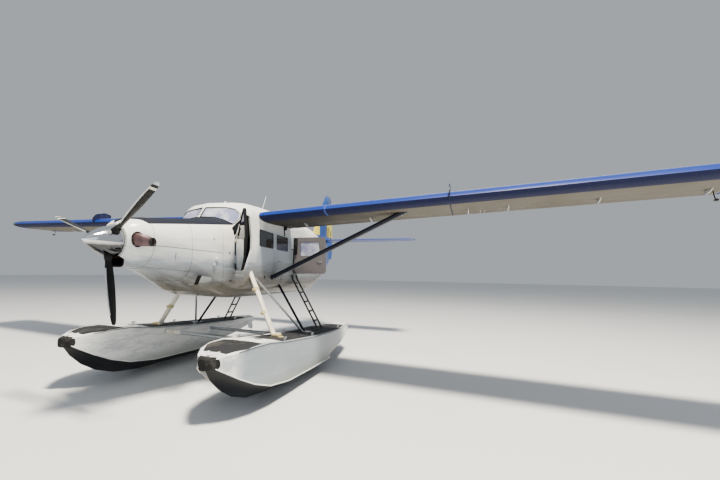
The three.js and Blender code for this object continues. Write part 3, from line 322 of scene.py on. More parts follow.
def wing_enamel():
    """Enamel on the wings: white above, royal blue round the leading edge, tips and fences, grey-tan and stained
    below, with ribs and spars showing as rivet rows. The lower half of the leading edge is navy, and the underside
    is darkened, most of all near the root, as painted shade."""
    c = colours()
    made, node, place = blank("enamel_on_aluminium_wing")
    x, y, _ = node("SeparateXYZ", {0: place}).node.outputs
    aside = node("Math", {0: x}, operation="ABSOLUTE")
    facing = node("SeparateXYZ", {0: node("NewGeometry", out="Normal")}, out="Z")
    below = node("MapRange", {0: facing, 1: -0.02, 2: -0.12})
    edge = node("Math", {0: below, 1: -0.075, 2: y}, operation="MULTIPLY_ADD")  # the blue runs further aft below
    lead = node("MapRange", {0: edge, 1: -2.005, 2: -2.013})
    # painted shade: the lower, downward-facing half of the leading edge turns navy
    lead_shade = node("Math", {0: lead, 1: node("MapRange", {0: facing, 1: 0.2, 2: -0.2})}, operation="MULTIPLY")
    tip = node("MapRange", {0: aside, 1: 8.42, 2: 8.43})
    fence = node("Math", {0: aside, 1: 4.565, 2: 0.012}, operation="COMPARE")
    joint = node("Math", {0: aside, 1: 2.3, 2: 0.012}, operation="COMPARE")
    joint = node("Math", {0: joint, 1: lead}, operation="MULTIPLY")
    streak_place = node("Mapping", {0: place, "Scale": (1.0, 0.3, 1.0)})
    streaks = node("TexNoise", {"Vector": streak_place, "Scale": 1.6, "Detail": 6.0, "Roughness": 0.7})
    stains = node("MapRange", {0: streaks, 1: 0.45, 2: 0.7, 4: 0.6})
    stains = node("Math", {0: stains, 1: below}, operation="MULTIPLY")
    # painted shade below the wing, streaked, darkest at the root and spreading outboard, below only
    reach = node("Math", {0: streaks, 1: -2.2, 2: aside}, operation="MULTIPLY_ADD")
    soot_and_shade = node("MapRange", {0: reach, 1: 2.4, 2: 0.6, 4: 0.9})
    soot_and_shade = node("Math", {0: soot_and_shade, 1: below}, operation="MULTIPLY")
    shade = node("TexNoise", {"Vector": place, "Scale": 0.9, "Detail": 3.0})
    chalk = node("MapRange", {0: shade, 1: 0.45, 2: 0.7, 4: 0.08})
    # ribs 0.38 m apart, spanwise rows 0.42 m apart
    ribs, spars = riveted(node, y, 0.05, aside, 0.38), riveted(node, aside, 0.05, y, 0.42)
    rivets = node("Math", {0: ribs, 1: spars}, operation="MAXIMUM")
    faint = node("Math", {0: rivets, 1: 0.45}, operation="MULTIPLY")
    gloss = node("Math", {0: shade, 1: 0.2, 2: 0.2}, operation="MULTIPLY_ADD")
    relief = node("Math", {0: shade, 1: 2.0, 2: rivets}, operation="MULTIPLY_ADD")
    node("OutputMaterial", {"Surface": node("BsdfPrincipled", {
        "Base Color": layered(node, c.white, [
            (chalk, "#B9BAB4"), (below, c.underside), (stains, "#4F4A3C"), (soot_and_shade, "#181715"), (lead, c.blue),
            (tip, c.blue), (lead_shade, c.navy), (fence, c.navy), (joint, "#3A52A0"), (faint, "#5E5E58"),
        ]),
        "Roughness": node("Math", {0: below, 1: 0.45, 2: gloss}, operation="MULTIPLY_ADD"),
        "Specular IOR Level": 0.25,
        "Normal": node("Bump", {"Height": relief, "Distance": 0.001}),
    })})
    return made


def tail_enamel():
    """Enamel on the fin and rudder: plain bands of yellow and two blues, with a blue top and foot."""
    c = colours()
    made, node, place = blank("enamel_on_aluminium_tail")
    z = node("SeparateXYZ", {0: place}, out="Z")
    # lean is the distance aft of the origin, sloping with the fin
    lean = node("VectorMath", {0: place, 1: (0, 1, -0.12)}, out="Value", operation="DOT_PRODUCT")
    band = node("Math", {0: node("MapRange", {0: lean, 1: 4.325, 2: 4.335}),
                         1: node("MapRange", {0: lean, 1: 5.295, 2: 5.285})}, operation="MULTIPLY")
    edge = node("Math", {0: lean, 1: 5.29, 2: 0.03}, operation="COMPARE")
    bars_and_hinge_shade = []
    # the front bar lies on the rudder's hinge line and is its painted shadow; the rear bar is a dark band on the
    # rudder
    for centre, half, top in ((5.475, 0.08, 4.02), (5.945, 0.075, 3.94)):
        inside = node("Math", {0: lean, 1: centre, 2: half}, operation="COMPARE")
        below = node("MapRange", {0: z, 1: top, 2: top - 0.01})
        bars_and_hinge_shade.append((node("Math", {0: inside, 1: below}, operation="MULTIPLY"), c.anti_glare))
    top_line = node("VectorMath", {0: place, 1: (0, 0.35, 1)}, out="Value", operation="DOT_PRODUCT")
    top = node("MapRange", {0: top_line, 1: 6.72, 2: 6.74})
    foot = node("MapRange", {0: z, 1: 3.635, 2: 3.625})
    lead_line = node("VectorMath", {0: place, 1: (0, 1, -0.83)}, out="Value", operation="DOT_PRODUCT")
    lead = node("MapRange", {0: lead_line, 1: 1.095, 2: 1.085})
    fade = node("TexNoise", {"Vector": place, "Scale": 2.0, "Detail": 4.0})
    chalk = node("MapRange", {0: fade, 1: 0.5, 2: 0.7, 4: 0.15})
    rivets = riveted(node, lean, 0.05, z, 0.36)
    faint = node("Math", {0: rivets, 1: 0.35}, operation="MULTIPLY")
    node("OutputMaterial", {"Surface": node("BsdfPrincipled", {
        "Base Color": layered(node, c.yellow, [
            (band, c.sky), (edge, c.anti_glare), *bars_and_hinge_shade, (top, c.sky), (foot, c.deep_blue), (lead, c.deep_blue),
            (chalk, "#B4B6A8"), (faint, "#33402E"),
        ]),
        "Roughness": node("Math", {0: fade, 1: 0.2, 2: 0.24}, operation="MULTIPLY_ADD"),
        "Specular IOR Level": 0.3,
        "Normal": node("Bump", {"Height": rivets, "Distance": 0.001}),
    })})
    return made


def tailplane_enamel():
    """Royal blue enamel on the tailplane, faded on top, with its own rivet rows."""
    made, node, place = blank("enamel_royal_blue_tailplane")
    x, y, _ = node("SeparateXYZ", {0: place}).node.outputs
    fade = node("TexNoise", {"Vector": place, "Scale": 2.0, "Detail": 4.0})
    rivets = riveted(node, x, 0.05, y, 0.28)
    node("OutputMaterial", {"Surface": node("BsdfPrincipled", {
        "Base Color": layered(node, colours().blue, [
            (node("MapRange", {0: fade, 1: 0.5, 2: 0.72, 4: 0.3}), "#4A63A6"),
            (node("Math", {0: rivets, 1: 0.4}, operation="MULTIPLY"), "#0F1E4A"),
        ]),
        "Roughness": node("Math", {0: fade, 1: 0.2, 2: 0.2}, operation="MULTIPLY_ADD"),
        "Specular IOR Level": 0.3,
        "Normal": node("Bump", {"Height": rivets, "Distance": 0.001}),
    })})
    return made


def float_enamel():
    """Worn enamel over riveted aluminium floats: pale grey scuffed sides, black planing bottoms, and a dull
    gritty walkway with a pale margin on the decks."""
    c = colours()
    made, node, place = blank("enamel_on_aluminium_float")
    x, y, z = node("SeparateXYZ", {0: place}).node.outputs
    inboard = node("Math", {0: node("Math", {0: x}, operation="ABSOLUTE"), 1: -FLOAT_X}, operation="ADD")
    off = node("Math", {0: inboard}, operation="ABSOLUTE")
    facing = node("SeparateXYZ", {0: node("NewGeometry", out="Normal")}, out="Z")
    bottom = node("MapRange", {0: facing, 1: -0.22, 2: -0.28})
    deck = node("MapRange", {0: facing, 1: 0.7, 2: 0.75})
    # the walkway stops 25 mm inside the deck's edge, which widens in three straight runs from the bow and
    # narrows in one towards the stern
    half = 0.375
    for slope, level in ((0.8, 4.538), (0.43, 2.511), (0.19, 1.333), (-0.115, 0.40)):
        run = node("Math", {0: y, 1: slope, 2: level}, operation="MULTIPLY_ADD")
        half = node("Math", {0: run, 1: half}, operation="MINIMUM")
    inside = node("MapRange", {0: node("Math", {0: half, 1: off}, operation="SUBTRACT"), 1: 0.0, 2: 0.004})
    treads = []
    for start, end in ((-5.36, -4.42), (-3.62, 1.25)):
        begun = node("MapRange", {0: y, 1: start, 2: start + 0.004})
        over = node("MapRange", {0: y, 1: end, 2: end - 0.004})
        treads.append(node("Math", {0: begun, 1: over}, operation="MULTIPLY"))
    tread = node("Math", {0: treads[0], 1: treads[1]}, operation="MAXIMUM")
    for mask in (inside, deck):
        tread = node("Math", {0: tread, 1: mask}, operation="MULTIPLY")
    scuff_place = node("Mapping", {0: place, "Scale": (1.0, 0.25, 1.6)})
    scuffs = node("TexNoise", {"Vector": scuff_place, "Scale": 4.0, "Detail": 6.0, "Roughness": 0.75})
    rubbed = node("MapRange", {0: scuffs, 1: 0.48, 2: 0.66, 4: 0.75})
    low = node("Math", {0: scuffs, 1: 0.4, 2: z}, operation="MULTIPLY_ADD")
    waterline = node("MapRange", {0: low, 1: 0.72, 2: 0.5, 4: 0.6})
    rivets = riveted(node, z, 0.045, y, 0.42)
    faint = node("Math", {0: rivets, 1: 0.5}, operation="MULTIPLY")
    grit = node("TexNoise", {"Vector": place, "Scale": 150.0, "Detail": 2.0})
    trodden = node("MapRange", {0: scuffs, 1: 0.5, 2: 0.68, 4: 0.6})
    trodden = node("Math", {0: tread, 1: trodden}, operation="MULTIPLY")
    outboard_shade = node("MapRange", {0: x, 1: 1.85, 2: 1.92, 4: 0.9})  # painted shade: the port float's outboard side turns blue-grey
    gloss = node("MapRange", {0: scuffs, 3: 0.3, 4: 0.5})
    relief = node("Math", {0: node("Math", {0: tread, 1: grit}, operation="MULTIPLY"), 1: rivets}, operation="ADD")
    node("OutputMaterial", {"Surface": node("BsdfPrincipled", {
        "Base Color": layered(node, c.float_grey, [
            (outboard_shade, "#828D98"), (rubbed, "#A3ABB0"), (waterline, "#83867A"), (faint, "#6C7174"),
            (bottom, c.float_bottom), (tread, "#202226"), (trodden, "#595550"),
        ]),
        "Roughness": node("Math", {0: tread, 1: 0.35, 2: gloss}, operation="MULTIPLY_ADD"),
        "Specular IOR Level": 0.25,
        "Normal": node("Bump", {"Height": relief, "Distance": 0.0012}),
    })})
    return made


def spinner_chrome():
    """Spun aluminium spinner, polished like chrome: a mirror with faint turning marks about 8 mm apart, darkened on
    its lower side as a painted reflection.
    """
    made, node, place = blank("aluminium_polished_spinner")
    turning_place = node("Mapping", {0: place, "Scale": (0.0, 120.0, 0.0)})
    rings = node("TexNoise", {"Vector": turning_place, "Scale": 1.0, "Detail": 2.0})
    smears = node("TexNoise", {"Vector": place, "Scale": 9.0, "Detail": 4.0})
    dulled = node("MapRange", {0: smears, 1: 0.4, 2: 0.8, 3: 0.05, 4: 0.16})
    # painted reflection: the side that hangs lowest is darkened, as if it mirrored dark ground below
    height = node("SeparateXYZ", {0: place}, out="Z")
    dark_reflection = node("Math", {0: smears, 1: 0.03, 2: height}, operation="MULTIPLY_ADD")
    node("OutputMaterial", {"Surface": node("BsdfPrincipled", {
        "Base Color": layered(node, "#E6E8EA", [
            (node("MapRange", {0: smears, 1: 0.5, 2: 0.8, 4: 0.3}), "#B4B6B8"),
            (node("MapRange", {0: dark_reflection, 1: 2.675, 2: 2.6, 4: 0.95}), "#2A2C30"),
        ]),
        "Roughness": node("Math", {0: rings, 1: 0.03, 2: dulled}, operation="MULTIPLY_ADD"),
        "Metallic": 1.0,
    })})
    return made


def blade_paint():
    """Satin black polyurethane on the blades, with one pale band and a grey tip, rubbed in patches."""
    made, node, place = blank("polyurethane_black_blade")
    reach = node("VectorMath", {0: place, 1: HUB}, out="Value", operation="DISTANCE")
    tip = node("MapRange", {0: reach, 1: 1.255, 2: 1.26})
    band = node("Math", {0: reach, 1: 1.183, 2: 0.022}, operation="COMPARE")
    cloud = node("TexNoise", {"Vector": place, "Scale": 14.0, "Detail": 5.0})
    rubbed = node("MapRange", {0: cloud, 1: 0.52, 2: 0.75, 4: 0.3})
    node("OutputMaterial", {"Surface": node("BsdfPrincipled", {
        "Base Color": layered(node, "#08090B", [(rubbed, "#26272A"), (band, "#C9C5BC"), (tip, "#A9AFB5")]),
        "Roughness": node("MapRange", {0: cloud, 1: 0.3, 2: 0.7, 3: 0.3, 4: 0.48}),
        "Specular IOR Level": 0.25,
    })})
    return made


def exhaust_steel():
    """Stainless exhaust stub tempered by heat: copper brown going violet, with a black mouth of soot and painted
    shade.
    """
    made, node, place = blank("stainless_heat_tinted")
    aside = node("Math", {0: node("SeparateXYZ", {0: place}, out="X")}, operation="ABSOLUTE")
    cloud = node("TexNoise", {"Vector": place, "Scale": 9.0, "Detail": 4.0})
    # soot and painted shade: the stub goes black towards its end so that the mouth reads dark
    mouth = node("Math", {0: cloud, 1: 0.04, 2: aside}, operation="MULTIPLY_ADD")
    mouth = node("MapRange", {0: mouth, 1: 0.572, 2: 0.584})
    node("OutputMaterial", {"Surface": node("BsdfPrincipled", {
        "Base Color": layered(node, "#5C4747", [
            (node("MapRange", {0: cloud, 1: 0.42, 2: 0.62, 4: 0.7}), "#44303A"), (mouth, "#0B0909"),
        ]),
        "Metallic": node("MapRange", {0: mouth, 3: 0.45, 4: 0.0}),
        "Roughness": node("MapRange", {0: mouth, 3: 0.45, 4: 0.9}),
    })})
    return made


def seat_cloth():
    """Woven blue-grey wool cloth: ribbed, soft, faded on the crowns. Its 1.5 mm threads are drawn at 6 mm."""
    made, node, place = blank("wool_cloth_woven_seat")
    warp, weft = (
        node("TexWave", {"Vector": place, "Scale": 26.0, "Distortion": 0.6}, out="Fac", bands_direction=way)
        for way in "XZ"
    )
    thread = node("Math", {0: warp, 1: weft}, operation="MULTIPLY")
    fade = node("TexNoise", {"Vector": place, "Scale": 5.0, "Detail": 4.0})
    node("OutputMaterial", {"Surface": node("BsdfPrincipled", {
        "Base Color": layered(node, colours().cloth, [
            (node("Math", {0: thread, 1: 0.6}, operation="MULTIPLY"), "#5E7189"),
            (node("MapRange", {0: fade, 1: 0.5, 2: 0.75, 4: 0.5}), "#2A3950"),
        ]),
        "Roughness": node("MapRange", {0: thread, 3: 0.9, 4: 0.75}),
        "Sheen Weight": 0.3,
        "Normal": node("Bump", {"Height": thread, "Distance": 0.0008}),
    })})
    return made


def studio_paper():
    """Matt seamless studio paper: pale, even, with the faintest mottle."""
    made, node, place = blank("studio_paper_pale")
    cloud = node("TexNoise", {"Vector": place, "Scale": 0.3, "Detail": 3.0})
    mottle = node("MapRange", {0: cloud, 1: 0.4, 2: 0.7, 4: 0.5})
    node("OutputMaterial", {"Surface": node("BsdfPrincipled", {
        "Base Color": layered(node, "#DDDFE0", [(mottle, "#D6D9DB")]), "Roughness": 0.7,
    })})
    return made


SPECIAL = {
    "fuselage": fuselage_enamel,
    "wing": wing_enamel,
    "tail": tail_enamel,
    "tailplane": tailplane_enamel,
    "float": float_enamel,
    "spinner": spinner_chrome,
    "blade": blade_paint,
    "exhaust": exhaust_steel,
    "cloth": seat_cloth,
    "floor_paper": studio_paper,
}
MATERIALS = {}


def material(key):
    """The finish of that name, mixed the first time that it is asked for."""
    if key not in MATERIALS:
        if key in SPECIAL:
            MATERIALS[key] = SPECIAL[key]()
        else:
            MATERIALS[key] = worn_finish(key) if key in WORN else acrylic_finish(key)
    return MATERIALS[key]


# Modelling


def only(piece):
    """Selects one piece and nothing else."""
    bpy.ops.object.select_all(action="DESELECT")
    piece.select_set(True)
    bpy.context.view_layer.objects.active = piece


def choose(piece, test):
    """In edit mode, selects the points that pass a test, and only them."""
    bpy.ops.mesh.select_mode(type="VERT")
    bpy.ops.mesh.select_all(action="DESELECT")
    form = bmesh.from_edit_mesh(piece.data)
    for vertex in form.verts:
        vertex.select_set(test(vertex))
    form.select_flush_mode()
    bmesh.update_edit_mesh(piece.data)


def outwards(piece):
    """Merges doubles and turns every face outwards."""
    only(piece)
    bpy.ops.object.mode_set(mode="EDIT")
    bpy.ops.mesh.select_all(action="SELECT")
    bpy.ops.mesh.remove_doubles(threshold=1e-5)
    bpy.ops.mesh.normals_make_consistent(inside=False)
    bpy.ops.object.mode_set(mode="OBJECT")


def modified(piece, kind, **settings):
    """Adds one modifier and applies it."""
    only(piece)
    made = piece.modifiers.new(kind.title(), kind)
    for name, value in settings.items():
        setattr(made, name, value)
    bpy.ops.object.modifier_apply(modifier=made.name)


def softened(piece, width, segments=2):
    """Rounds the edges at which the surface turns by more than 35 degrees."""
    modified(piece, "BEVEL", width=width, segments=segments, limit_method="ANGLE", angle_limit=math.radians(35),
             use_clamp_overlap=True)


def cut_away(piece, cutter):
    """Takes one piece out of another, and does away with it."""
    modified(piece, "BOOLEAN", operation="DIFFERENCE", object=cutter, solver="EXACT")
    bpy.data.objects.remove(cutter)


def finished(piece, body, finish, smooth=40, replaces=()):
    """Applies the piece's place, shades it, paints it and joins it to the body that it rides on."""
    only(piece)
    bpy.ops.object.transform_apply(location=True, rotation=True, scale=True)
    bpy.ops.object.shade_smooth_by_angle(angle=math.radians(smooth))
    if finish is not None:
        piece.data.materials.clear()
        piece.data.materials.append(material(finish))
    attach(piece, body)
    if replaces:
        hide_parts(*replaces)
    return piece


def ringed(name, rings, ends=("flat", "flat")):
    """A skin through rings: a circle is set to the first ring and extruded to each of the others. Each end is
    closed flat or to a point."""
    bpy.ops.object.select_all(action="DESELECT")
    bpy.ops.mesh.primitive_circle_add(vertices=len(rings[0]), radius=1.0)
    piece = bpy.context.object
    piece.name = name
    bpy.ops.object.mode_set(mode="EDIT")
    bpy.ops.mesh.select_all(action="SELECT")
    before = None
    for ring in rings:
        if before is not None:
            bpy.ops.mesh.extrude_region_move()
        form = bmesh.from_edit_mesh(piece.data)
        chosen = [v for v in form.verts if v.select]
        if before is not None:
            count = len(before)
            chosen.sort(key=lambda v: min(range(count), key=lambda k: (v.co - before[k]).length_squared))
        for vertex, point in zip(chosen, ring):
            vertex.co = point
        bmesh.update_edit_mesh(piece.data)
        before = [v.co.copy() for v in chosen]
    for end, ring in zip(ends, (rings[0], rings[-1])):
        points = [Vector(p) for p in ring]
        choose(piece, lambda v: any((v.co - p).length < 1e-6 for p in points))
        if end == "flat":
            bpy.ops.mesh.edge_face_add()
        else:
            bpy.ops.mesh.merge(type="CENTER")
    bpy.ops.mesh.select_mode(type="VERT")
    bpy.ops.mesh.select_all(action="SELECT")
    bpy.ops.mesh.normals_make_consistent(inside=False)
    bpy.ops.object.mode_set(mode="OBJECT")
    return piece


def across(axis):
    """Two unit vectors square to an axis."""
    axis = Vector(axis).normalized()
    first = axis.orthogonal().normalized()
    return first, axis.cross(first)


def circle(centre, axis, radius, steps):
    """Points round a circle that is square to an axis."""
    first, second = across(axis)
    return [
        Vector(centre) + radius * (first * math.cos(a) + second * math.sin(a))
        for a in (2 * math.pi * k / steps for k in range(steps))
    ]


def turned(name, base, axis, profile, steps=32):
    """A round piece: its profile of (distance along the axis, radius) is carried round the axis."""
    axis = Vector(axis).normalized()
    return ringed(name, [circle(Vector(base) + axis * h, axis, r, steps) for h, r in profile])


def plate(name, outline, thickness, bevel=0.0):
    """A flat sheet cut to an outline and thickened by a vector."""
    bpy.ops.object.select_all(action="DESELECT")
    bpy.ops.mesh.primitive_circle_add(vertices=len(outline), radius=1.0, fill_type="NGON")
    piece = bpy.context.object
    piece.name = name
    bpy.ops.object.mode_set(mode="EDIT")
    form = bmesh.from_edit_mesh(piece.data)
    for vertex, point in zip(form.verts, outline):
        vertex.co = point
    bmesh.update_edit_mesh(piece.data)
    bpy.ops.mesh.select_all(action="SELECT")
    bpy.ops.mesh.extrude_region_move(TRANSFORM_OT_translate={"value": Vector(thickness)})
    bpy.ops.mesh.select_all(action="SELECT")
    bpy.ops.mesh.normals_make_consistent(inside=False)
    bpy.ops.object.mode_set(mode="OBJECT")
    if bevel:
        softened(piece, bevel)
    return piece


def block(name, low, high, bevel):
    """A box between two corners with softened edges."""
    low, high = Vector(low), Vector(high)
    bpy.ops.object.select_all(action="DESELECT")
    bpy.ops.mesh.primitive_cube_add(size=1.0, location=(low + high) / 2)
    piece = bpy.context.object
    piece.name = name
    piece.scale = high - low
    bpy.ops.object.transform_apply(location=True, rotation=True, scale=True)
    softened(piece, bevel)
    return piece


def pipe(name, points, radius, closed=False, sides=4):
    """A round tube along a line of points."""
    line = bpy.data.curves.new(name, "CURVE")
    line.dimensions = "3D"
    spline = line.splines.new("POLY")
    spline.points.add(len(points) - 1)
    for target, point in zip(spline.points, points):
        target.co = (*point, 1)
    spline.use_cyclic_u = closed
    line.bevel_depth = radius
    line.bevel_resolution = sides
    line.use_fill_caps = True
    piece = bpy.data.objects.new(name, line)
    bpy.context.scene.collection.objects.link(piece)
    only(piece)
    bpy.ops.object.convert(target="MESH")
    piece = bpy.context.object
    outwards(piece)
    return piece


def joined(name, pieces):
    """Several pieces as one object."""
    bpy.ops.object.select_all(action="DESELECT")
    for piece in pieces:
        piece.select_set(True)
    bpy.context.view_layer.objects.active = pieces[0]
    if len(pieces) > 1:
        bpy.ops.object.join()
    pieces[0].name = name
    return pieces[0]


def copied(piece, name, matrix):
    """A copy with its own mesh, moved by a matrix; a mirrored one has its faces turned back out."""
    made = bpy.data.objects.new(name, piece.data.copy())
    bpy.context.scene.collection.objects.link(made)
    made.data.transform(matrix)
    if matrix.determinant() < 0:
        made.data.flip_normals()
    return made


def merged_copy(node, name):
    """A copy of a CAD node with its loose triangles merged and flat areas made whole faces."""
    made = bpy.data.objects.new(name, frame["nodes"][node].data.copy())
    bpy.context.scene.collection.objects.link(made)
    only(made)
    bpy.ops.object.mode_set(mode="EDIT")
    bpy.ops.mesh.customdata_custom_splitnormals_clear()
    bpy.ops.mesh.select_all(action="SELECT")
    bpy.ops.mesh.remove_doubles(threshold=2e-5)
    bpy.ops.mesh.dissolve_limited(angle_limit=math.radians(0.4))
    bpy.ops.mesh.select_all(action="DESELECT")
    bpy.ops.object.mode_set(mode="OBJECT")
    return made


def body_of_node(node):
    """The body that a CAD node rides on."""
    return frame["nodes"][node]["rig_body"]


def dressed(node, finish, smooth, bevel=0.0, segments=2):
    """The CAD solid's own shape, merged, smoothed and painted, which then stands for it."""
    piece = merged_copy(node, node + "_skin")
    if bevel:
        softened(piece, bevel, segments)
    return finished(piece, body_of_node(node), finish, smooth, (node,))


def paint_faces(piece, finish, test):
    """Gives the faces that pass a test another finish."""
    piece.data.materials.append(material(finish))
    index = len(piece.data.materials) - 1
    for face in piece.data.polygons:
        if test(face):
            face.material_index = index


def rim_of(piece, name, radius, outward, region=None, sharp=50, wall=0.5):
    """A bead along the outer rim of an opening or a pane, in a region if one is given. The rim's edges turn by
    more than so many sharp degrees, between a face that looks outward and one that looks less so than wall."""
    form = bmesh.new()
    form.from_mesh(piece.data)
    keep = []
    for edge in form.edges:
        if len(edge.link_faces) != 2 or edge.calc_face_angle(0) < math.radians(sharp):
            continue
        middle = (edge.verts[0].co + edge.verts[1].co) / 2
        if region and not all(region[0][k] <= middle[k] <= region[1][k] for k in range(3)):
            continue
        facing = [face.normal.dot(outward(middle)) for face in edge.link_faces]
        if max(facing) > wall + 0.02 and min(facing) < wall:
            keep.append([v.co.copy() for v in edge.verts])
    form.free()
    beads = [pipe(f"{name}_{k}", loop, radius, closed=True, sides=3) for k, loop in enumerate(chained(keep))]
    return joined(name, beads)


def chained(edges):
    """Puts loose edges end to end into closed loops."""
    def key(point):
        return tuple(round(v, 5) for v in point)

    links = {}
    for a, b in edges:
        links.setdefault(key(a), []).append(b)
        links.setdefault(key(b), []).append(a)
    loops, used = [], set()
    for a, b in edges:
        if key(a) in used:
            continue
        loop, here = [], a
        while key(here) not in used:
            used.add(key(here))
            loop.append(here)
            following = [p for p in links[key(here)] if key(p) not in used]
            if not following:
                break
            here = following[0]
        if len(loop) > 5:
            loops.append(loop)
    return loops


def from_cabin(point):
    """Outwards from the cabin's middle line."""
    return Vector((point.x, min(0.0, point.y + 2.9) * 1.2, point.z - CABIN_Z)).normalized()


TREES = {}
OUTSIDE = ("fuselage", "cowling", "tail_cone")


def tree_of(*nodes):
    """The surfaces of some CAD nodes as one tree for finding places on them."""
    if nodes not in TREES:
        points, faces = [], []
        for node in nodes:
            data = frame["nodes"][node].data
            base = len(points)
            points += [v.co.copy() for v in data.vertices]
            faces += [[base + i for i in face.vertices] for face in data.polygons]
        TREES[nodes] = BVHTree.FromPolygons(points, faces)
    return TREES[nodes]


def struck(nodes, start, way):
    """Where a line from a point first meets some nodes, and which way the surface faces there."""
    point, normal, _, _ = tree_of(*nodes).ray_cast(start, way)
    if point is None:
        raise RuntimeError(f"no surface of {nodes} lies that way from {start}")
    return point, normal


def on_side(side, station, z):
    """The fuselage's side at a station and height."""
    return struck(OUTSIDE, at(side * 3, station, z), Vector((-side, 0, 0)))


def on_deck(x, station):
    """The top of the port float."""
    return struck(("float_port",), at(x, station, 3), DOWN)


def under_wing(x, station):
    """The underside of the port wing."""
    return struck(("wing_port",), at(x, station, 2.2), -DOWN)


def round_skin(station, steps=96):
    """Points round the fuselage at a station."""
    middle = at(0, station, 2.7)
    ring = []
    for k in range(steps):
        angle = 2 * math.pi * k / steps
        outward = Vector((math.sin(angle), 0, math.cos(angle)))
        point = tree_of(*OUTSIDE).ray_cast(middle + outward * 4, -outward)[0]
        if point is not None and (point - middle).length > 0.2:
            ring.append(point)
    return ring


def streamlined(name, top, foot, chord, thick, planes, steps=32):
    """A strut of streamlined section with its chord fore and aft, cut at each end to a plane (point, normal)."""
    axis = (foot - top).normalized()
    thin = axis.cross(AFT).normalized()
    wide = thin.cross(axis)
    rear = 1 if wide.y > 0 else -1
    rings = []
    for end, (place, normal) in zip((top, foot), planes):
        ring = []
        for k in range(steps):
            turn = 2 * math.pi * k / steps
            along, aside = math.cos(turn), math.sin(turn)
            spot = end + wide * along * chord / 2 + thin * aside * (1 - 0.32 * rear * along) * thick / 2
            ring.append(spot + axis * ((place - spot).dot(normal) / axis.dot(normal)))
        rings.append(ring)
    return ringed(name, rings)


def both_sides(piece, label, body, finish, smooth=40, replaces=()):
    """Finishes a port piece and its mirror image; {} in the body's and nodes' names stands for the side."""
    twin = copied(piece, label + "_starboard", MIRROR)
    piece.name = label + "_port"
    for side, made in (("port", piece), ("starboard", twin)):
        finished(made, body.format(side), finish, smooth, [node.format(side) for node in replaces])
    return piece, twin


def between(table, value, column):
    """Reads a column of a table at a value of its first column."""
    for low, high in zip(table, table[1:]):
        if value <= high[0]:
            share = max(0.0, (value - low[0]) / (high[0] - low[0]))
            return low[column] + share * (high[column] - low[column])
    return table[-1][column]


# Pieces


class FLOATPLANE_OT_fuselage(bpy.types.Operator):
    """Makes the fuselage and cowling in enamel, lined inside, with sealed skin joints"""

    bl_idname = "floatplane.fuselage"
    bl_label = "Fuselage"

    def execute(self, context):
        def inside(face):
            return face.normal.dot(Vector((face.center.x, 0, face.center.z - CABIN_Z)).normalized()) < -0.3

        paint_faces(dressed("fuselage", "fuselage", 30), "lining", inside)
        dressed("cowling", "fuselage", 30)
        dressed("tail_cone", "fuselage", 30)
        radius = sizes().seam
        joints = [
            pipe(f"joint_{station}", round_skin(station), radius, closed=True, sides=2)
            for station in (0.587, 1.43, 2.35, 8.21)
        ]
        # Columns: first and last station, height at the propeller's plane, slope
        runs = ((0.6, 2.35, 2.635, -0.028), (0.6, 1.42, 2.325, -0.09), (2.36, 2.75, 2.30, 0.0))
        for start, end, level, slope in runs:
            for side in SIDES.values():
                stations = [start + (end - start) * k / 16 for k in range(17)]
                line = [on_side(side, station, level + slope * station)[0] for station in stations]
                joints.append(pipe("joint", line, radius, sides=2))
        finished(joined("skin_joints", joints), "airframe", "rubber", 60)
        return {"FINISHED"}


class FLOATPLANE_OT_wings(bpy.types.Operator):
    """Makes the wings, flaps and ailerons, with hinge brackets, balance weights and tip lights"""

    bl_idname = "floatplane.wings"
    bl_label = "Wings"

    def execute(self, context):
        for name in SIDES:
            for part in ("wing", "flap", "aileron"):
                dressed(f"{part}_{name}", "wing", 34)
        brackets = []
        for x in (1.5, 3.0, 4.85, 5.5, 6.8, 8.1):
            front, rear = (under_wing(x, station)[0].z + 0.004 for station in (4.93, 5.22))
            outline = [at(x - 0.007, station, z) for station, z in (
                (4.93, front), (5.06, front - 0.055), (5.18, rear - 0.085), (5.235, rear - 0.075), (5.235, rear))]
            brackets.append(plate("bracket", outline, (0.014, 0, 0), 0.002))
        both_sides(joined("hinge_brackets", brackets), "hinge_brackets", "airframe", "aluminium")
        vent = pipe("vent", [at(0.79, 5.41, 3.37), at(0.808, 5.412, 3.33), at(0.812, 5.428, 3.14)], 0.018, sides=3)
        profile = [(0, 0.035), (0.012, 0.05), (0.07, 0.05), (0.085, 0.036)]
        knuckle = turned("knuckle", at(0.78, 5.45, 3.335), (1, -0.2, 0), profile, 24)
        both_sides(joined("vent", [vent, knuckle]), "cabin_vent", "airframe", "rubber")
        hinge = struck(("aileron_port",), at(8.25, 5.40, 2.2), -DOWN)[0]
        low = at(8.25, 5.33, 3.475)
        bend = hinge.lerp(low, 0.5) + Vector((0, 0.012, 0))
        arm = pipe("arm", [hinge + Vector((0, 0, 0.006)), bend, low], 0.008, sides=3)
        profile = [(0, 0.006), (0.02, 0.02), (0.05, 0.026), (0.1, 0.02), (0.13, 0.008)]
        bulb = turned("bulb", low + Vector((0, -0.075, 0)), AFT, profile, 20)
        both_sides(joined("balance", [arm, bulb]), "aileron_balance", "aileron_{}", "dark_steel")
        spot, facing, _, _ = tree_of("wing_port").find_nearest(at(8.6, 3.6, 3.75))
        profile = [(0, 0.04), (0.016, 0.038), (0.03, 0.026), (0.037, 0.01)]
        lamps = both_sides(turned("lamp", spot - facing * 0.012, facing, profile, 28), "tip_light", "airframe", None)
        for lamp, finish in zip(lamps, ("red_lens", "green_lens")):
            lamp.data.materials.append(material(finish))
        return {"FINISHED"}


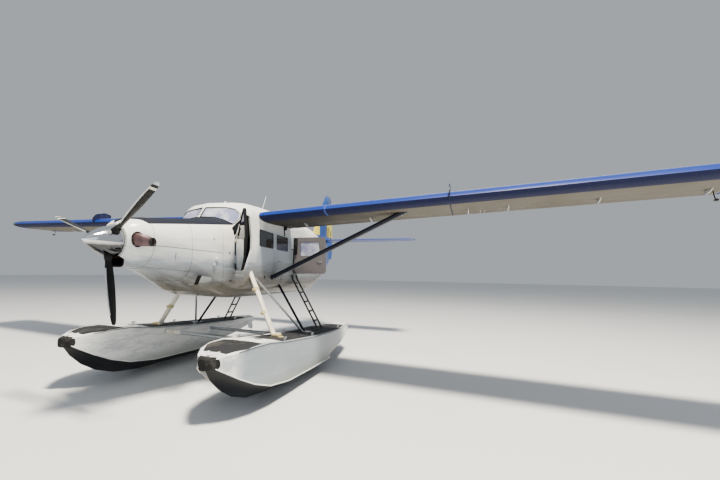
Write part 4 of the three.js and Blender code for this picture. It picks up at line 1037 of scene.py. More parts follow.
class FLOATPLANE_OT_tail(bpy.types.Operator):
    """Makes the fin, rudder and tailplane, with their hinge brackets"""

    bl_idname = "floatplane.tail"
    bl_label = "Tail"

    def execute(self, context):
        for node in ("fin", "rudder"):
            dressed(node, "tail", 40)
        for node in ("stabilizer", "elevator"):
            dressed(node, "tailplane", 40)
        brackets = []
        for x in (0.8, 1.75, 2.7):
            level = struck(("stabilizer",), at(x, 11.5, 2.4), -DOWN)[0].z + 0.006
            drops = ((11.4, 0), (11.5, 0.035), (11.6, 0.05), (11.635, 0.045), (11.635, 0))
            outline = [at(x - 0.006, station, level - drop) for station, drop in drops]
            brackets.append(plate("bracket", outline, (0.012, 0, 0), 0.002))
        both_sides(joined("tail_hinge_brackets", brackets), "tail_hinge_brackets", "airframe", "aluminium")
        return {"FINISHED"}


class FLOATPLANE_OT_windows(bpy.types.Operator):
    """Makes the window panes and their rubber seals"""

    bl_idname = "floatplane.windows"
    bl_label = "Windows"

    def execute(self, context):
        for node in frame["nodes"]:
            if not ("glass" in node or node.startswith(("window", "windscreen"))):
                continue
            # the windscreen and the cabin door's front pane take the pale finish: a painted reflection of the sky
            pale = "screen" in node or node == "cabin_door_front_glass"
            pane = dressed(node, "screen" if pale else "acrylic", 30)
            outward, sharp, wall, radius = from_cabin, 50, 0.5, sizes().seal
            if "screen" in node:
                # a windscreen pane's walls run straight fore and aft, and its outer face leans forward
                outward, sharp, wall, radius = lambda p: Vector((0, -1, 0)), 5, 0.03, radius * 1.6
            if node in ("pilot_door_glass_port", "cabin_door_front_glass"):
                facing = max(pane.data.polygons, key=lambda f: f.area).normal.copy()
                measure = facing.y if node == "cabin_door_front_glass" else facing.x
                facing = -facing if measure > 0 else facing
                outward = partial(lambda way, p: way, facing)
            seal = rim_of(pane, node + "_seal", radius, outward, None, sharp, wall)
            finished(seal, body_of_node(node), "rubber", 60)
        # quarter windows ahead of the crew doors: rows from the low edge up, each from its front to its rear end
        rows = []
        for k in range(7):
            share = k / 6
            front = (2.752 - 0.022 * share, 2.937 + 0.156 * share)
            rear = (2.835 + 0.21 * share, 2.985 + 0.331 * share)
            spots = [on_side(1, *(a + (b - a) * i / 6 for a, b in zip(front, rear))) for i in range(7)]
            rows.append([p + n * 0.004 for p, n in spots] + [p - n * 0.008 for p, n in reversed(spots)])
        both_sides(ringed("quarter", rows), "quarter_window", "airframe", "dark_pane")
        return {"FINISHED"}


class FLOATPLANE_OT_doors(bpy.types.Operator):
    """Makes the door leaves, lined inside, with levers and a rubber boot"""

    bl_idname = "floatplane.doors"
    bl_label = "Doors"

    def execute(self, context):
        swung = math.radians(138)
        inward = {
            "pilot_door_port": Vector((-math.cos(swung), math.sin(swung), 0)),
            "pilot_door_starboard": PORT,
            "cabin_door_front_leaf": AFT,
            "cabin_door_rear_leaf": Vector((-1, 0, 0)),
            "cabin_door_starboard": PORT,
        }
        for node, way in inward.items():
            leaf = dressed(node, "fuselage", 32)
            if node == "pilot_door_port":
                # painted shade: a near-black band, 90 mm wide, runs down the outside of the free edge and reads as
                # part of the dark doorway
                band = at(1.219, 2.288, 2.8), Vector((0.669, -0.743, 0))
                bpy.ops.object.mode_set(mode="EDIT")
                bpy.ops.mesh.select_all(action="SELECT")
                bpy.ops.mesh.bisect(plane_co=band[0], plane_no=band[1])
                bpy.ops.object.mode_set(mode="OBJECT")
            # painted shade: the crew doors' inner faces take the near-black lining
            lining, turn = ("shade_lining", -0.6) if node.startswith("pilot") else ("lining", 0.5)
            paint_faces(leaf, lining, lambda face: face.normal.dot(way) > turn)
            if node == "pilot_door_port":
                paint_faces(leaf, "shade_lining", lambda face: (face.center - band[0]).dot(band[1]) > 0)
            # painted shade: the front leaf's outer face is painted grey as the wing's shadow on it
            if node == "cabin_door_front_leaf":
                paint_faces(leaf, "leaf_shade_enamel", lambda face: face.normal.dot(way) <= 0.5)
        edge = ((0.802, 2.66), (0.802, 3.10), (0.86, 3.135), (0.925, 3.12), (0.905, 2.70))
        boot = plate("boot", [at(x, 6.104, z) for x, z in edge], (0, 0.01, 0), 0.004)
        finished(boot, body_of_node("cabin_door_front_leaf"), "rubber")
        # Columns: node, a point beside the lever, direction of the lever
        levers = (
            ("pilot_door_starboard", at(-2, 3.40, 2.62), Vector((0, -1, 0))),
            ("cabin_door_front_leaf", at(1.52, 5.3, 2.50), Vector((-1, 0, 0))),
            ("cabin_door_rear_leaf", at(2, 7.04, 2.52), AFT),
            ("cabin_door_starboard", at(-2, 6.98, 2.55), Vector((0, -1, 0))),
        )
        for node, beside, way in levers:
            point, normal = struck((node,), beside, inward[node])
            rest = point + normal * 0.022
            lever = pipe("lever", [point, rest, rest + way * 0.11], 0.008, sides=3)
            boss = turned("boss", point - normal * 0.004, normal, [(0, 0.022), (0.012, 0.022), (0.015, 0.0154)], 20)
            finished(joined(node + "_lever", [lever, boss]), body_of_node(node), "stainless", 50)
        return {"FINISHED"}


class FLOATPLANE_OT_propeller(bpy.types.Operator):
    """Makes the polished spinner and the feathered blades in their sockets and boots"""

    bl_idname = "floatplane.propeller"
    bl_label = "Propeller"

    # Columns: distance from the axis, chord, thickness, pitch in degrees
    BLADE = [
        (0.09, 0.096, 0.092, 100), (0.22, 0.098, 0.09, 100), (0.29, 0.106, 0.082, 100), (0.36, 0.132, 0.06, 98.5),
        (0.43, 0.16, 0.042, 97), (0.58, 0.184, 0.033, 93.5), (0.76, 0.196, 0.026, 90), (0.92, 0.192, 0.021, 87),
        (1.05, 0.182, 0.017, 84), (1.16, 0.163, 0.014, 82.2), (1.24, 0.142, 0.012, 81), (1.28, 0.118, 0.010, 80.4),
        (1.303, 0.086, 0.008, 80), (1.312, 0.04, 0.004, 80),
    ]
    # Columns of these three: distance along the axis, radius
    SOCKET = [(0.12, 0.045), (0.12, 0.060), (0.232, 0.060), (0.24, 0.057), (0.244, 0.045)]
    BOOT = [
        (0.24, 0.045), (0.24, 0.06), (0.246, 0.066), (0.262, 0.068), (0.274, 0.064), (0.28, 0.06), (0.312, 0.057),
        (0.324, 0.054), (0.324, 0.045),
    ]
    SHAFT = [
        (-0.13, 0.08), (-0.11, 0.115), (0.12, 0.115), (0.128, 0.11), (0.128, 0.255), (0.136, 0.255), (0.136, 0.07),
    ]

    def blade(self, turn):
        """One blade, turned from upright to its place round the hub."""
        rings = []
        for reach, chord, thick, pitch in self.BLADE:
            lean = Matrix.Rotation(math.radians(pitch), 4, "Z")
            steps = [2 * math.pi * i / 28 for i in range(28)]
            corners = [Vector((math.cos(a) * chord / 2, math.sin(a) * thick / 2, 0)) for a in steps]
            rings.append([HUB + turn @ (lean @ corner + Vector((0, 0, reach))) for corner in corners])
        made = ringed("blade", rings)
        made.data.materials.append(material("blade"))
        back = turn.inverted()

        def behind(face):
            return (back.to_3x3() @ face.normal).x < 0

        def leading(face):
            spot = back @ (face.center - HUB)
            pitch = math.radians(between(self.BLADE, spot.z, 3))
            edge = spot.x * math.cos(pitch) + spot.y * math.sin(pitch)
            return 0.45 < spot.z < 1.16 and edge < -0.4 * between(self.BLADE, spot.z, 1)

        paint_faces(made, "blade_back", behind)
        # painted highlight: the leading edges are painted bare aluminium to stand for their sunlit sheen
        paint_faces(made, "aluminium", leading)
        return made

    def execute(self, context):
        steps = sizes().turns
        back, length, radius = 0.1277, 0.6277, 0.255
        shares = [0.5 - 0.5 * math.cos(math.pi * k / 24) for k in range(25)]
        profile = [(back - t * length, radius * (1 - t**1.75) ** 0.93) for t in shares]
        outer = [circle(HUB + Vector((0, h, 0)), AFT, max(r, 0.0004), steps) for h, r in profile]
        inner = [
            circle(HUB + Vector((0, h + 0.004, 0)), AFT, max(r - 0.006, 0.002), steps)
            for h, r in reversed(profile[:-1])
        ]
        shell = ringed("spinner_shell", inner + outer, ("point", "point"))
        blades, roots = [], []
        for k in range(3):
            angle = math.radians(180 - 9.4 + 120 * k)  # the lower blade leans as in the photograph
            way = Vector((math.sin(angle), 0, math.cos(angle)))
            cut_away(shell, turned("cutter", HUB, way, [(0.1, 0.074), (0.4, 0.074)], 32))
            blades.append(self.blade(Matrix.Rotation(angle, 4, "Y")))
            roots += [turned("root", HUB, way, profile, 32) for profile in (self.SOCKET, self.BOOT)]
        finished(shell, "propeller", "spinner", 30, ("spinner",))
        finished(joined("blades", blades), "propeller", None, 35, ("propeller",))
        roots.append(turned("hub", HUB, AFT, self.SHAFT, steps))
        finished(joined("hub_and_boots", roots), "propeller", "rubber", 35)
        return {"FINISHED"}


class FLOATPLANE_OT_exhausts(bpy.types.Operator):
    """Makes the heat-tinted exhaust stubs, scarfed at their mouths, and the rims of their ports"""

    bl_idname = "floatplane.exhausts"
    bl_label = "Exhausts"

    # Columns: x, station, z, half width, half height, turn of the ring in degrees
    RINGS = [
        (0.12, 0.325, 2.680, 0.062, 0.100, 0), (0.33, 0.280, 2.700, 0.062, 0.108, 20),
        (0.44, 0.312, 2.690, 0.060, 0.100, 38), (0.482, 0.350, 2.682, 0.059, 0.092, 49),
        (0.515, 0.392, 2.674, 0.058, 0.084, 56), (0.536, 0.430, 2.667, 0.060, 0.077, 46),
        (0.572, 0.470, 2.661, 0.068, 0.070, 2),
    ]

    def ring(self, row, by):
        """The ring of a row, widened by so much."""
        x, station, z, half, height, turn = row
        lean = math.radians(turn)
        return [
            at(x - math.cos(t) * (half + by) * math.sin(lean), station + math.cos(t) * (half + by) * math.cos(lean),
               z + math.sin(t) * (height + by))
            for t in (2 * math.pi * i / 40 for i in range(40))
        ]

    def execute(self, context):
        outer = [self.ring(row, 0) for row in self.RINGS]
        inner = [self.ring(row, -0.006) for row in reversed(self.RINGS[1:])]
        stub = ringed("stub", outer + inner)
        both_sides(stub, "exhaust_stub", "airframe", "exhaust", 40, ("exhaust_{}",))
        # painted shade: a black plug just inside the mouth closes the tube and stands for its dark inside
        plug = (self.RINGS[4], (0.561, 0.458, 2.6625, 0.066, 0.0715, 14))
        both_sides(ringed("soot_and_shade", [self.ring(row, -0.005) for row in plug]), "exhaust_soot", "airframe", "soot_and_shade")
        probe = merged_copy("cowling", "probe")
        region = (at(0.25, 0.15, 2.5), at(0.7, 0.75, 2.9))
        lip = rim_of(probe, "rim", 0.009, lambda p: Vector((0.9, -0.35, 0)).normalized(), region, 40)
        bpy.data.objects.remove(probe)
        both_sides(lip, "exhaust_port_rim", "airframe", "rubber", 60)
        return {"FINISHED"}


class FLOATPLANE_OT_nose_fittings(bpy.types.Operator):
    """Makes the intakes, drains, caps and steps on the nose and sides"""

    bl_idname = "floatplane.nose_fittings"
    bl_label = "Nose fittings"

    def execute(self, context):
        duct = dressed("chin_intake", "intake", 40, 0.006)
        rear = at(0, 0.40, 0).y
        paint_faces(duct, "fuselage", lambda f: f.center.y > rear and (f.center.z < 2.28 or abs(f.center.x) > 0.172))
        dressed("engine", "dark_steel", 40)
        scoop = merged_copy("oil_cooler_scoop", "scoop")
        wedge = ((1.38, 1.94), (1.445, 1.94), (1.60, 2.16), (1.38, 2.16))
        cut_away(scoop, plate("cutter", [at(0.5, station, z) for station, z in wedge], (0.4, 0, 0)))
        softened(scoop, 0.004)
        finished(scoop, "airframe", "fuselage", 30, ("oil_cooler_scoop",))
        # a black slab in the scoop's mouth stands for the cooler core deep in the scoop: painted shade
        slab = ((1.452, 1.972), (1.566, 2.132), (1.59, 2.132), (1.476, 1.972))
        core = plate("core", [at(0.69, station, z) for station, z in slab], (0.08, 0, 0), 0.003)
        finished(core, "airframe", "soot_and_shade")
        caps = []
        # Columns: station, z, radius, how far it stands proud, finish
        for station, z, radius, proud, finish in (
            (2.129, 2.435, 0.046, 0.035, "fuselage"), (2.05, 2.319, 0.046, 0.035, "fuselage"),
            (2.05, 2.816, 0.019, 0.002, "rubber"), (2.58, 2.578, 0.02, 0.006, "rubber"),
            (4.221, 2.092, 0.036, 0.001, "soot_and_shade"), (5.218, 2.024, 0.032, 0.001, "soot_and_shade"),
            (4.35, 2.52, 0.013, 0.003, "aluminium"), (3.6, 2.42, 0.013, 0.003, "aluminium"),
        ):
            point, normal = on_side(1, station, z)
            cap = turned("cap", point - normal * 0.004, normal, [
                (0, radius), (0.004 + proud * 0.5, radius), (0.004 + proud * 0.85, radius * 0.8),
                (0.004 + proud, radius * 0.45)], 24)
            cap.data.materials.append(material(finish))
            caps.append(cap)
        both_sides(joined("side_caps", caps), "side_caps", "airframe", None, 50)
        drains = []
        for station, low, high, width in ((1.05, 2.39, 2.52, 0.012), (2.60, 2.02, 2.035, 0.06)):
            ends = [on_side(1, station, z)[0] for z in (low, high)]
            drains.append(pipe("slot", [p + Vector((0.002, 0, 0)) for p in ends], width / 2, sides=3))
        both_sides(joined("drain_slots", drains), "drain_slots", "airframe", "rubber")
        step = [at(0.79, 2.74, 2.150), at(0.822, 2.745, 2.152), at(0.824, 3.12, 2.140), at(0.79, 3.13, 2.139)]
        both_sides(pipe("step", step, 0.009, sides=3), "boarding_step", "airframe", "aluminium")
        handle = [at(0.78, 5.00, 2.47), at(0.80, 5.01, 2.47), at(0.80, 5.30, 2.462), at(0.78, 5.31, 2.462)]
        both_sides(pipe("handle", handle, 0.007, sides=3), "grab_handle", "airframe", "dark_steel")
        return {"FINISHED"}


class FLOATPLANE_OT_antennas(bpy.types.Operator):
    """Makes the whip and blade antennas on the roof"""

    bl_idname = "floatplane.antennas"
    bl_label = "Antennas"

    def execute(self, context):
        foot, up = struck(OUTSIDE, at(0, 5.70, 6), DOWN)
        tip = at(0, 6.08, 4.36)
        way = (tip - foot).normalized()
        reach = (tip - foot).length
        whip = turned("whip", foot - way * 0.02, way, [(0, 0.012), (0.09, 0.011), (0.1, 0.007), (reach, 0.004)], 16)
        seat = turned("seat", foot - up * 0.006, up, [(0, 0.045), (0.012, 0.044), (0.03, 0.024), (0.034, 0.012)], 28)
        finished(joined("whip_antenna", [whip, seat]), "airframe", "white_plastic")
        level = struck(OUTSIDE, at(0, 3.72, 6), DOWN)[0].z - 0.01
        outline = [at(-0.006, station, level + h) for station, h in (
            (3.66, 0), (3.68, 0.02), (3.735, 0.115), (3.755, 0.12), (3.775, 0.1), (3.80, 0.02), (3.81, 0))]
        finished(plate("blade_antenna", outline, (0.012, 0, 0), 0.004), "airframe", "white_plastic")
        return {"FINISHED"}


class FLOATPLANE_OT_wing_struts(bpy.types.Operator):
    """Makes the wing struts of streamlined section and their end fittings"""

    bl_idname = "floatplane.wing_struts"
    bl_label = "Wing struts"

    def execute(self, context):
        top, foot = at(3.98, 4.64, 3.60), at(0.72, 4.70, 2.04)
        above, _ = under_wing(3.72, 4.66)
        tilt = math.radians(2)
        wing_plane = (above + Vector((0, 0, 0.006)), Vector((-math.sin(tilt), 0, math.cos(tilt))))
        strut = streamlined("strut", top, foot, 0.29, 0.095, (wing_plane, (at(0.785, 4.7, 2), PORT)), 40)
        both_sides(strut, "wing_strut", "airframe", "strut", 50, ("lift_strut_{}",))
        aside = (top - foot).normalized().cross(AFT)
        fittings = []
        for share in (0.035, 0.905):
            for y in (-0.075, 0.075):
                middle = foot.lerp(top, share) + Vector((0, y, 0))
                fittings.append(pipe("pin", [middle - aside * d for d in (-0.058, 0.058)], 0.014, sides=4))
        both_sides(joined("strut_pins", fittings), "strut_pins", "airframe", "aluminium")
        return {"FINISHED"}


class FLOATPLANE_OT_float_struts(bpy.types.Operator):
    """Makes the struts between fuselage and floats, their fittings, and the spreader bars"""

    bl_idname = "floatplane.float_struts"
    bl_label = "Float struts"

    def execute(self, context):
        wall = (at(0.786, 4, 2), PORT)
        top, foot = at(0.70, 3.58, 2.32), at(1.55, 3.19, 0.78)
        front = streamlined("front", top, foot, 0.175, 0.082, (wall, (at(1.5, 3.2, 0.925), UP)))
        shoe = block("shoe", at(1.43, 3.07, 0.885), at(1.64, 3.31, 0.93), 0.012)
        collar = block("collar", at(1.455, 3.09, 0.925), at(1.60, 3.305, 0.985), 0.02)
        both_sides(front, "front_float_strut", "airframe", "cream", 50, ("front_float_strut_{}",))
        both_sides(joined("shoe", [shoe, collar]), "front_strut_shoe", "airframe", "foot")
        clamps = []
        axis = (foot - top).normalized()
        for place in (at(0.964, 3.455, 1.835), at(1.215, 3.335, 1.366)):
            ends = [(place + axis * d, axis) for d in (-0.03, 0.03)]
            clamps.append(streamlined("band", ends[0][0], ends[1][0], 0.195, 0.098, ends))
            profile = [(0, 0.026), (0.05, 0.026), (0.055, 0.036), (0.075, 0.034), (0.08, 0.02)]
            clamps.append(turned("peg", place + Vector((0, -0.085, 0)), (0, -1, 0), profile, 20))
        both_sides(joined("clamps", clamps), "strut_clamps", "airframe", "foot")
        rear_foot = (at(1.5, 4.9, 0.82), UP)
        slim = streamlined("slim", at(0.69, 3.62, 2.24), at(1.55, 4.90, 0.74), 0.06, 0.048, (wall, rear_foot), 24)
        rear = streamlined("rear", at(0.69, 5.15, 2.03), at(1.55, 4.93, 0.74), 0.084, 0.054, (wall, rear_foot), 24)
        plate_foot = block("plate", at(1.43, 4.78, 0.79), at(1.64, 5.05, 0.835), 0.01)
        rear.data.materials.append(material("strut"))
        for made in (slim, plate_foot):
            made.data.materials.append(material("aluminium"))
        struts = joined("rear_struts", [slim, rear, plate_foot])
        both_sides(struts, "rear_float_struts", "airframe", None, 50, ("rear_float_struts_{}",))
        for label, station, z in (("front", 3.0, 0.83), ("rear", 4.95, 0.70)):
            ends = [(at(s * 1.09, station, z), PORT) for s in (-1, 1)]
            bar = streamlined("bar", ends[0][0], ends[1][0], 0.13, 0.078, ends)
            finished(bar, "airframe", "aluminium", 50, (label + "_spreader_bar",))
            bar.name = label + "_spreader"
        ends = [(at(x, 3.0, 0.83), PORT) for x in (0.66, 1.05)]
        sleeve = streamlined("sleeve", ends[0][0], ends[1][0], 0.14, 0.088, ends)
        both_sides(sleeve, "spreader_sleeve", "airframe", "cream", 50)
        return {"FINISHED"}


class FLOATPLANE_OT_ladders(bpy.types.Operator):
    """Makes the boarding ladders: dark round rails, flat rungs, hooks over the sill and a handrail"""

    bl_idname = "floatplane.ladders"
    bl_label = "Ladders"

    def execute(self, context):
        for name, station, side in (("port", 5.95, 1), ("starboard", 6.40, -1)):
            def spot(share, along):
                return at(side * (0.82 + share * 0.68), station + along, 2.06 - share * 1.28)

            rails, rungs = [], []
            for along in (0.0, 0.34):
                deck = struck((f"float_{name}",), spot(1, along) + UP, DOWN)[0]
                # the hooks stay below the closed door's lower edge
                hook = [at(side * x, station + along, z) for x, z in ((0.775, 2.13), (0.812, 2.122), (0.822, 2.09))]
                line = hook + [spot(0.02 + 0.16 * k, along) for k in range(7)]
                line.append(Vector((spot(1, 0).x, deck.y, deck.z + 0.004)))
                rails.append(pipe("rail", line, 0.023, sides=4))
                rails.append(turned("pad", deck, -DOWN, [(0, 0.036), (0.014, 0.034), (0.024, 0.024)], 20))
            for k in range(5):
                share = (k + 0.6) / 5.4
                low = spot(share, 0.0) + Vector((-0.018, 0.02, -0.022))
                high = spot(share, 0.34) + Vector((0.018, -0.02, 0.022))
                rungs.append(block("rung", low, high, 0.005))
            # the handrail rises from the ladder's front rail past the door sill
            foot = at(side * 0.845, station, 2.02)
            grip = at(side * 0.852, station + 0.02, 2.80)
            rails.append(pipe("handrail", [foot, grip, grip + Vector((-side * 0.05, 0.005, 0.03))], 0.017, sides=4))
            rails = joined(f"ladder_rails_{name}", rails)
            finished(rails, "airframe", "dark_steel", 50, (f"ladder_{name}",))
            finished(joined(f"ladder_rungs_{name}", rungs), "airframe", "dark_steel")
        return {"FINISHED"}


class FLOATPLANE_OT_floats(bpy.types.Operator):
    """Makes the floats with rub strips, hatches, bow plates and mooring cleats"""

    bl_idname = "floatplane.floats"
    bl_label = "Floats"

    # Columns: station, chine half width, chine z, gunwale z
    LINES = [
        (0.49, 0.080, 0.850, 0.920), (0.64, 0.220, 0.760, 0.962), (0.92, 0.350, 0.620, 1.003),
        (1.29, 0.430, 0.480, 1.032), (1.80, 0.465, 0.350, 1.030), (2.60, 0.470, 0.265, 0.950),
        (4.00, 0.470, 0.240, 0.855), (5.25, 0.468, 0.240, 0.795), (6.40, 0.400, 0.400, 0.765),
        (7.40, 0.300, 0.500, 0.745), (8.05, 0.200, 0.560, 0.730),
    ]

    def execute(self, context):
        for name in SIDES:
            dressed(f"float_{name}", "float", 22)
            dressed(f"water_rudder_{name}", "aluminium", 35)
        strips, chines = [], []
        for way in (-1, 1):
            gunwale = [at(FLOAT_X + way * half * 0.975, s, z) for s, half, _, z in self.LINES[2:]]
            chine = [at(FLOAT_X + way * half, s, z) for s, half, z, _ in self.LINES[:8]]
            strips.append(pipe("strip", gunwale, 0.006, sides=3))
            chines.append(pipe("chine", chine, 0.010, sides=3))
        both_sides(joined("strips", strips), "gunwale_strips", "airframe", "dark_steel", 60)
        both_sides(joined("chines", chines), "chine_strips", "airframe", "white_plastic", 60)
        hatches = []
        for x, station, radius in (
            (1.545, 1.45, 0.075), (1.545, 2.3, 0.075), (1.8, 3.9, 0.075), (1.545, 5.75, 0.075), (1.545, 6.9, 0.065),
        ):
            point, normal = on_deck(x, station)
            hatches.append(turned("hatch", point - normal * 0.003, normal, [
                (0, radius), (0.008, radius), (0.010, radius * 0.95), (0.010, radius * 0.84),
                (0.006, radius * 0.8)], 32))
        both_sides(joined("hatches", hatches), "deck_hatches", "airframe", "dark_steel", 35)
        cleats = []
        for x, station in ((1.20, 2.2), (1.88, 2.75), (1.22, 4.35), (1.88, 4.35), (1.25, 6.6), (1.84, 6.6)):
            point, normal = on_deck(x, station)
            for shift in (-0.03, 0.03):
                foot = point + Vector((0, shift, -0.004))
                cleats.append(turned("leg", foot, normal, [(0, 0.017), (0.012, 0.012), (0.045, 0.011)], 12))
            profile = [(0, 0.006), (0.02, 0.009), (0.06, 0.013), (0.11, 0.013), (0.15, 0.009), (0.17, 0.006)]
            cleats.append(turned("horn", point + normal * 0.046 + Vector((0, -0.085, 0.006)), AFT, profile, 12))
        both_sides(joined("cleats", cleats), "mooring_cleats", "airframe", "aluminium", 50)
        low, high = (on_deck(FLOAT_X, station)[0].z for station in (0.64, 0.80))
        middle = (low + high) / 2
        outline = [at(FLOAT_X + w, station, z) for w, station, z in (
            (-0.03, 0.60, low - 0.008), (0.03, 0.60, low - 0.008), (0.115, 0.72, middle), (0.095, 0.78, high),
            (0.0, 0.67, low + 0.006), (-0.095, 0.78, high), (-0.115, 0.72, middle))]
        both_sides(plate("plate", outline, (0, 0, 0.012), 0.003), "bow_plate", "airframe", "white_plastic")
        return {"FINISHED"}


class FLOATPLANE_OT_bumpers(bpy.types.Operator):
    """Makes the rubber bow bumpers that wrap the float noses"""

    bl_idname = "floatplane.bumpers"
    bl_label = "Bow bumpers"

    def execute(self, context):
        for name in SIDES:
            dressed(f"bow_bumper_{name}", "bumper", 50, 0.012, 3)
        return {"FINISHED"}


class FLOATPLANE_OT_cabin(bpy.types.Operator):
    """Makes the cabin floor and the instrument panel with its dials and yokes"""

    bl_idname = "floatplane.cabin"
    bl_label = "Cabin"

    def execute(self, context):
        dressed("cabin_floor", "floor", 30)
        dressed("instrument_panel", "panel", 30, 0.006)
        facing = Vector((0, 0.975, 0.222)).normalized()
        rise = PORT.cross(facing)
        foot = at(0, 2.60, 2.72)
        bezels, faces, marks = [], [], []
        for row, (height, radius) in enumerate(((0.36, 0.040), (0.25, 0.040), (0.14, 0.034))):
            for x in (-0.55, -0.44, -0.33, -0.22, -0.07, 0.05, 0.22, 0.33, 0.44, 0.55):
                middle = foot + rise * height + Vector((x, 0, 0))
                bezels.append(turned("bezel", middle - facing * 0.002, facing, [
                    (0, radius + 0.008), (0.008, radius + 0.008), (0.011, radius + 0.005), (0.011, radius),
                    (0.004, radius - 0.001)], 24))
                faces.append(turned("face", middle - facing * 0.001, facing, [(0, radius), (0.006, radius)], 24))
                for k in range(8):
                    way = Matrix.Rotation(2 * math.pi * k / 8, 3, facing) @ rise
                    line = [middle + facing * 0.0055 + way * (radius * d) for d in (0.72, 0.9)]
                    marks.append(pipe("mark", line, 0.0012, sides=1))
                way = Matrix.Rotation(0.7 * row + 9 * x, 3, facing) @ rise
                pivot = middle + facing * 0.0058
                marks.append(pipe("needle", [pivot, pivot + way * radius * 0.7], 0.0013, sides=1))
        finished(joined("dial_bezels", bezels), "airframe", "dark_steel")
        finished(joined("dial_faces", faces), "airframe", "dial")
        finished(joined("dial_marks", marks), "airframe", "marks")
        yokes = []
        for x in (-0.38, 0.38):
            middle = at(x, 2.72, CABIN_Z)
            turns = (math.radians(d) for d in (150, 172, 195, 220, 245, 270, 295, 320, 345, 368, 390))
            line = [middle + Vector((0.155 * math.cos(a), 0.012, 0.13 * math.sin(a) + 0.03)) for a in turns]
            yokes.append(pipe("yoke", line, 0.015, sides=4))
        finished(joined("yokes", yokes), "airframe", "rubber", 60)
        return {"FINISHED"}


class FLOATPLANE_OT_seats(bpy.types.Operator):
    """Makes the padded seats on tube frames"""

    bl_idname = "floatplane.seats"
    bl_label = "Seats"

    FLOOR = 2.1503
    REACH = 0.013  # how far the pressure may move the cloth

    def pad(self, name, outline, width):
        """A stuffed pad from its side outline: remeshed, blown up a little as cloth and kept within a limit."""
        made = plate(name, [at(0.012 - width / 2, s, z) for s, z in outline], (width - 0.024, 0, 0), 0.018)
        modified(made, "REMESH", mode="VOXEL", voxel_size=0.012, use_smooth_shade=True)
        before = [v.co.copy() for v in made.data.vertices]
        cloth = made.modifiers.new("Cloth", "CLOTH")
        cloth.settings.use_pressure = True
        cloth.settings.uniform_pressure_force = 4
        cloth.settings.effector_weights.gravity = 0
        for moment in range(1, 21):
            bpy.context.scene.frame_set(moment)
        only(made)
        bpy.ops.object.modifier_apply(modifier=cloth.name)
        bpy.context.scene.frame_set(1)
        for vertex, was in zip(made.data.vertices, before):
            moved = vertex.co - was
            if moved.length > self.REACH:
                vertex.co = was + moved.normalized() * self.REACH
        modified(made, "SMOOTH", factor=0.5, iterations=6)
        return made

    def belt(self, made, middle, normal, name):
        """Piping round a pad where a plane through a point cuts it."""
        tree = BVHTree.FromPolygons([v.co for v in made.data.vertices], [p.vertices for p in made.data.polygons])
        first, second = across(normal)
        loop = []
        for k in range(64):
            turn = 2 * math.pi * k / 64
            way = first * math.cos(turn) + second * math.sin(turn)
            point = tree.ray_cast(middle + way, -way)[0]
            if point is not None:
                loop.append(point)
        return pipe(name, loop, 0.005, closed=True, sides=2)

    def execute(self, context):
        floor = self.FLOOR
        # Columns: name, width, height of the back, x, front stations, node
        kinds = (
            ("pilot", 0.48, 0.98, 0.39, (2.98,), "pilot_seat_{}"),
            ("passenger", 0.43, 0.90, 0.46, (3.80, 4.56, 5.32), "passenger_seats_{}"),
        )
        for name, width, back, x, stations, node in kinds:
            top = floor + back
            cushion = self.pad("cushion", [
                (0.01, floor + 0.275), (0.45, floor + 0.27), (0.45, floor + 0.385), (0.01, floor + 0.395)], width)
            rest = self.pad("rest", [
                (0.39, floor + 0.41), (0.455, floor + 0.41), (0.565, top - 0.01), (0.495, top - 0.01)], width)
            middle = at(0, 0.23, floor + 0.35)
            belts = [self.belt(cushion, middle, UP, "belt")]
            lean = Vector((0, back - 0.42, -0.11)).normalized()
            belts.append(self.belt(rest, at(0, 0.465, floor + 0.66), lean, "belt"))
            low = floor + 0.012
            corners = at(-width / 2 + 0.01, 0.012, floor + 0.248), at(width / 2 - 0.01, 0.45, floor + 0.262)
            frame_parts = [block("pan", *corners, 0.005)]
            for side in (-1, 1):
                beside = side * (width / 2 - 0.045)
                for station in (0.06, 0.40):
                    leg = [at(beside, station, low), at(beside, station, floor + 0.25)]
                    frame_parts.append(pipe("leg", leg, 0.014, sides=4))
                frame_parts.append(pipe("rail", [at(beside, 0.02, low), at(beside, 0.56, low)], 0.012, sides=4))
            hoop = [at(side * (width / 2 - 0.03), station, z) for side, station, z in (
                (-1, 0.44, floor + 0.25), (-1, 0.475, floor + 0.42), (-1, 0.575, top - 0.05),
                (-0.9, 0.585, top - 0.02), (0.9, 0.585, top - 0.02), (1, 0.575, top - 0.05),
                (1, 0.475, floor + 0.42), (1, 0.44, floor + 0.25))]
            frame_parts.append(pipe("hoop", hoop, 0.011, sides=4))
            frame_one = joined("frame", frame_parts)
            piping = joined("piping", belts)
            for side_name, side in SIDES.items():
                frames, pipings = [], []
                for k, station in enumerate(stations):
                    shift = Matrix.Translation((side * x, station, 0))
                    for part, made in (("cushion", cushion), ("back", rest)):
                        piece = copied(made, f"{name}_{part}_{side_name}_{k}", shift)
                        finished(piece, "airframe", "cloth", 60, (node.format(side_name),))
                    frames.append(copied(frame_one, "frame_copy", shift))
                    pipings.append(copied(piping, "piping_copy", shift))
                finished(joined(f"{name}_seat_frames_{side_name}", frames), "airframe", "aluminium", 50)
                finished(joined(f"{name}_seat_piping_{side_name}", pipings), "airframe", "lining", 60)
            for made in (cushion, rest, frame_one, piping):
                bpy.data.objects.remove(made)
        return {"FINISHED"}


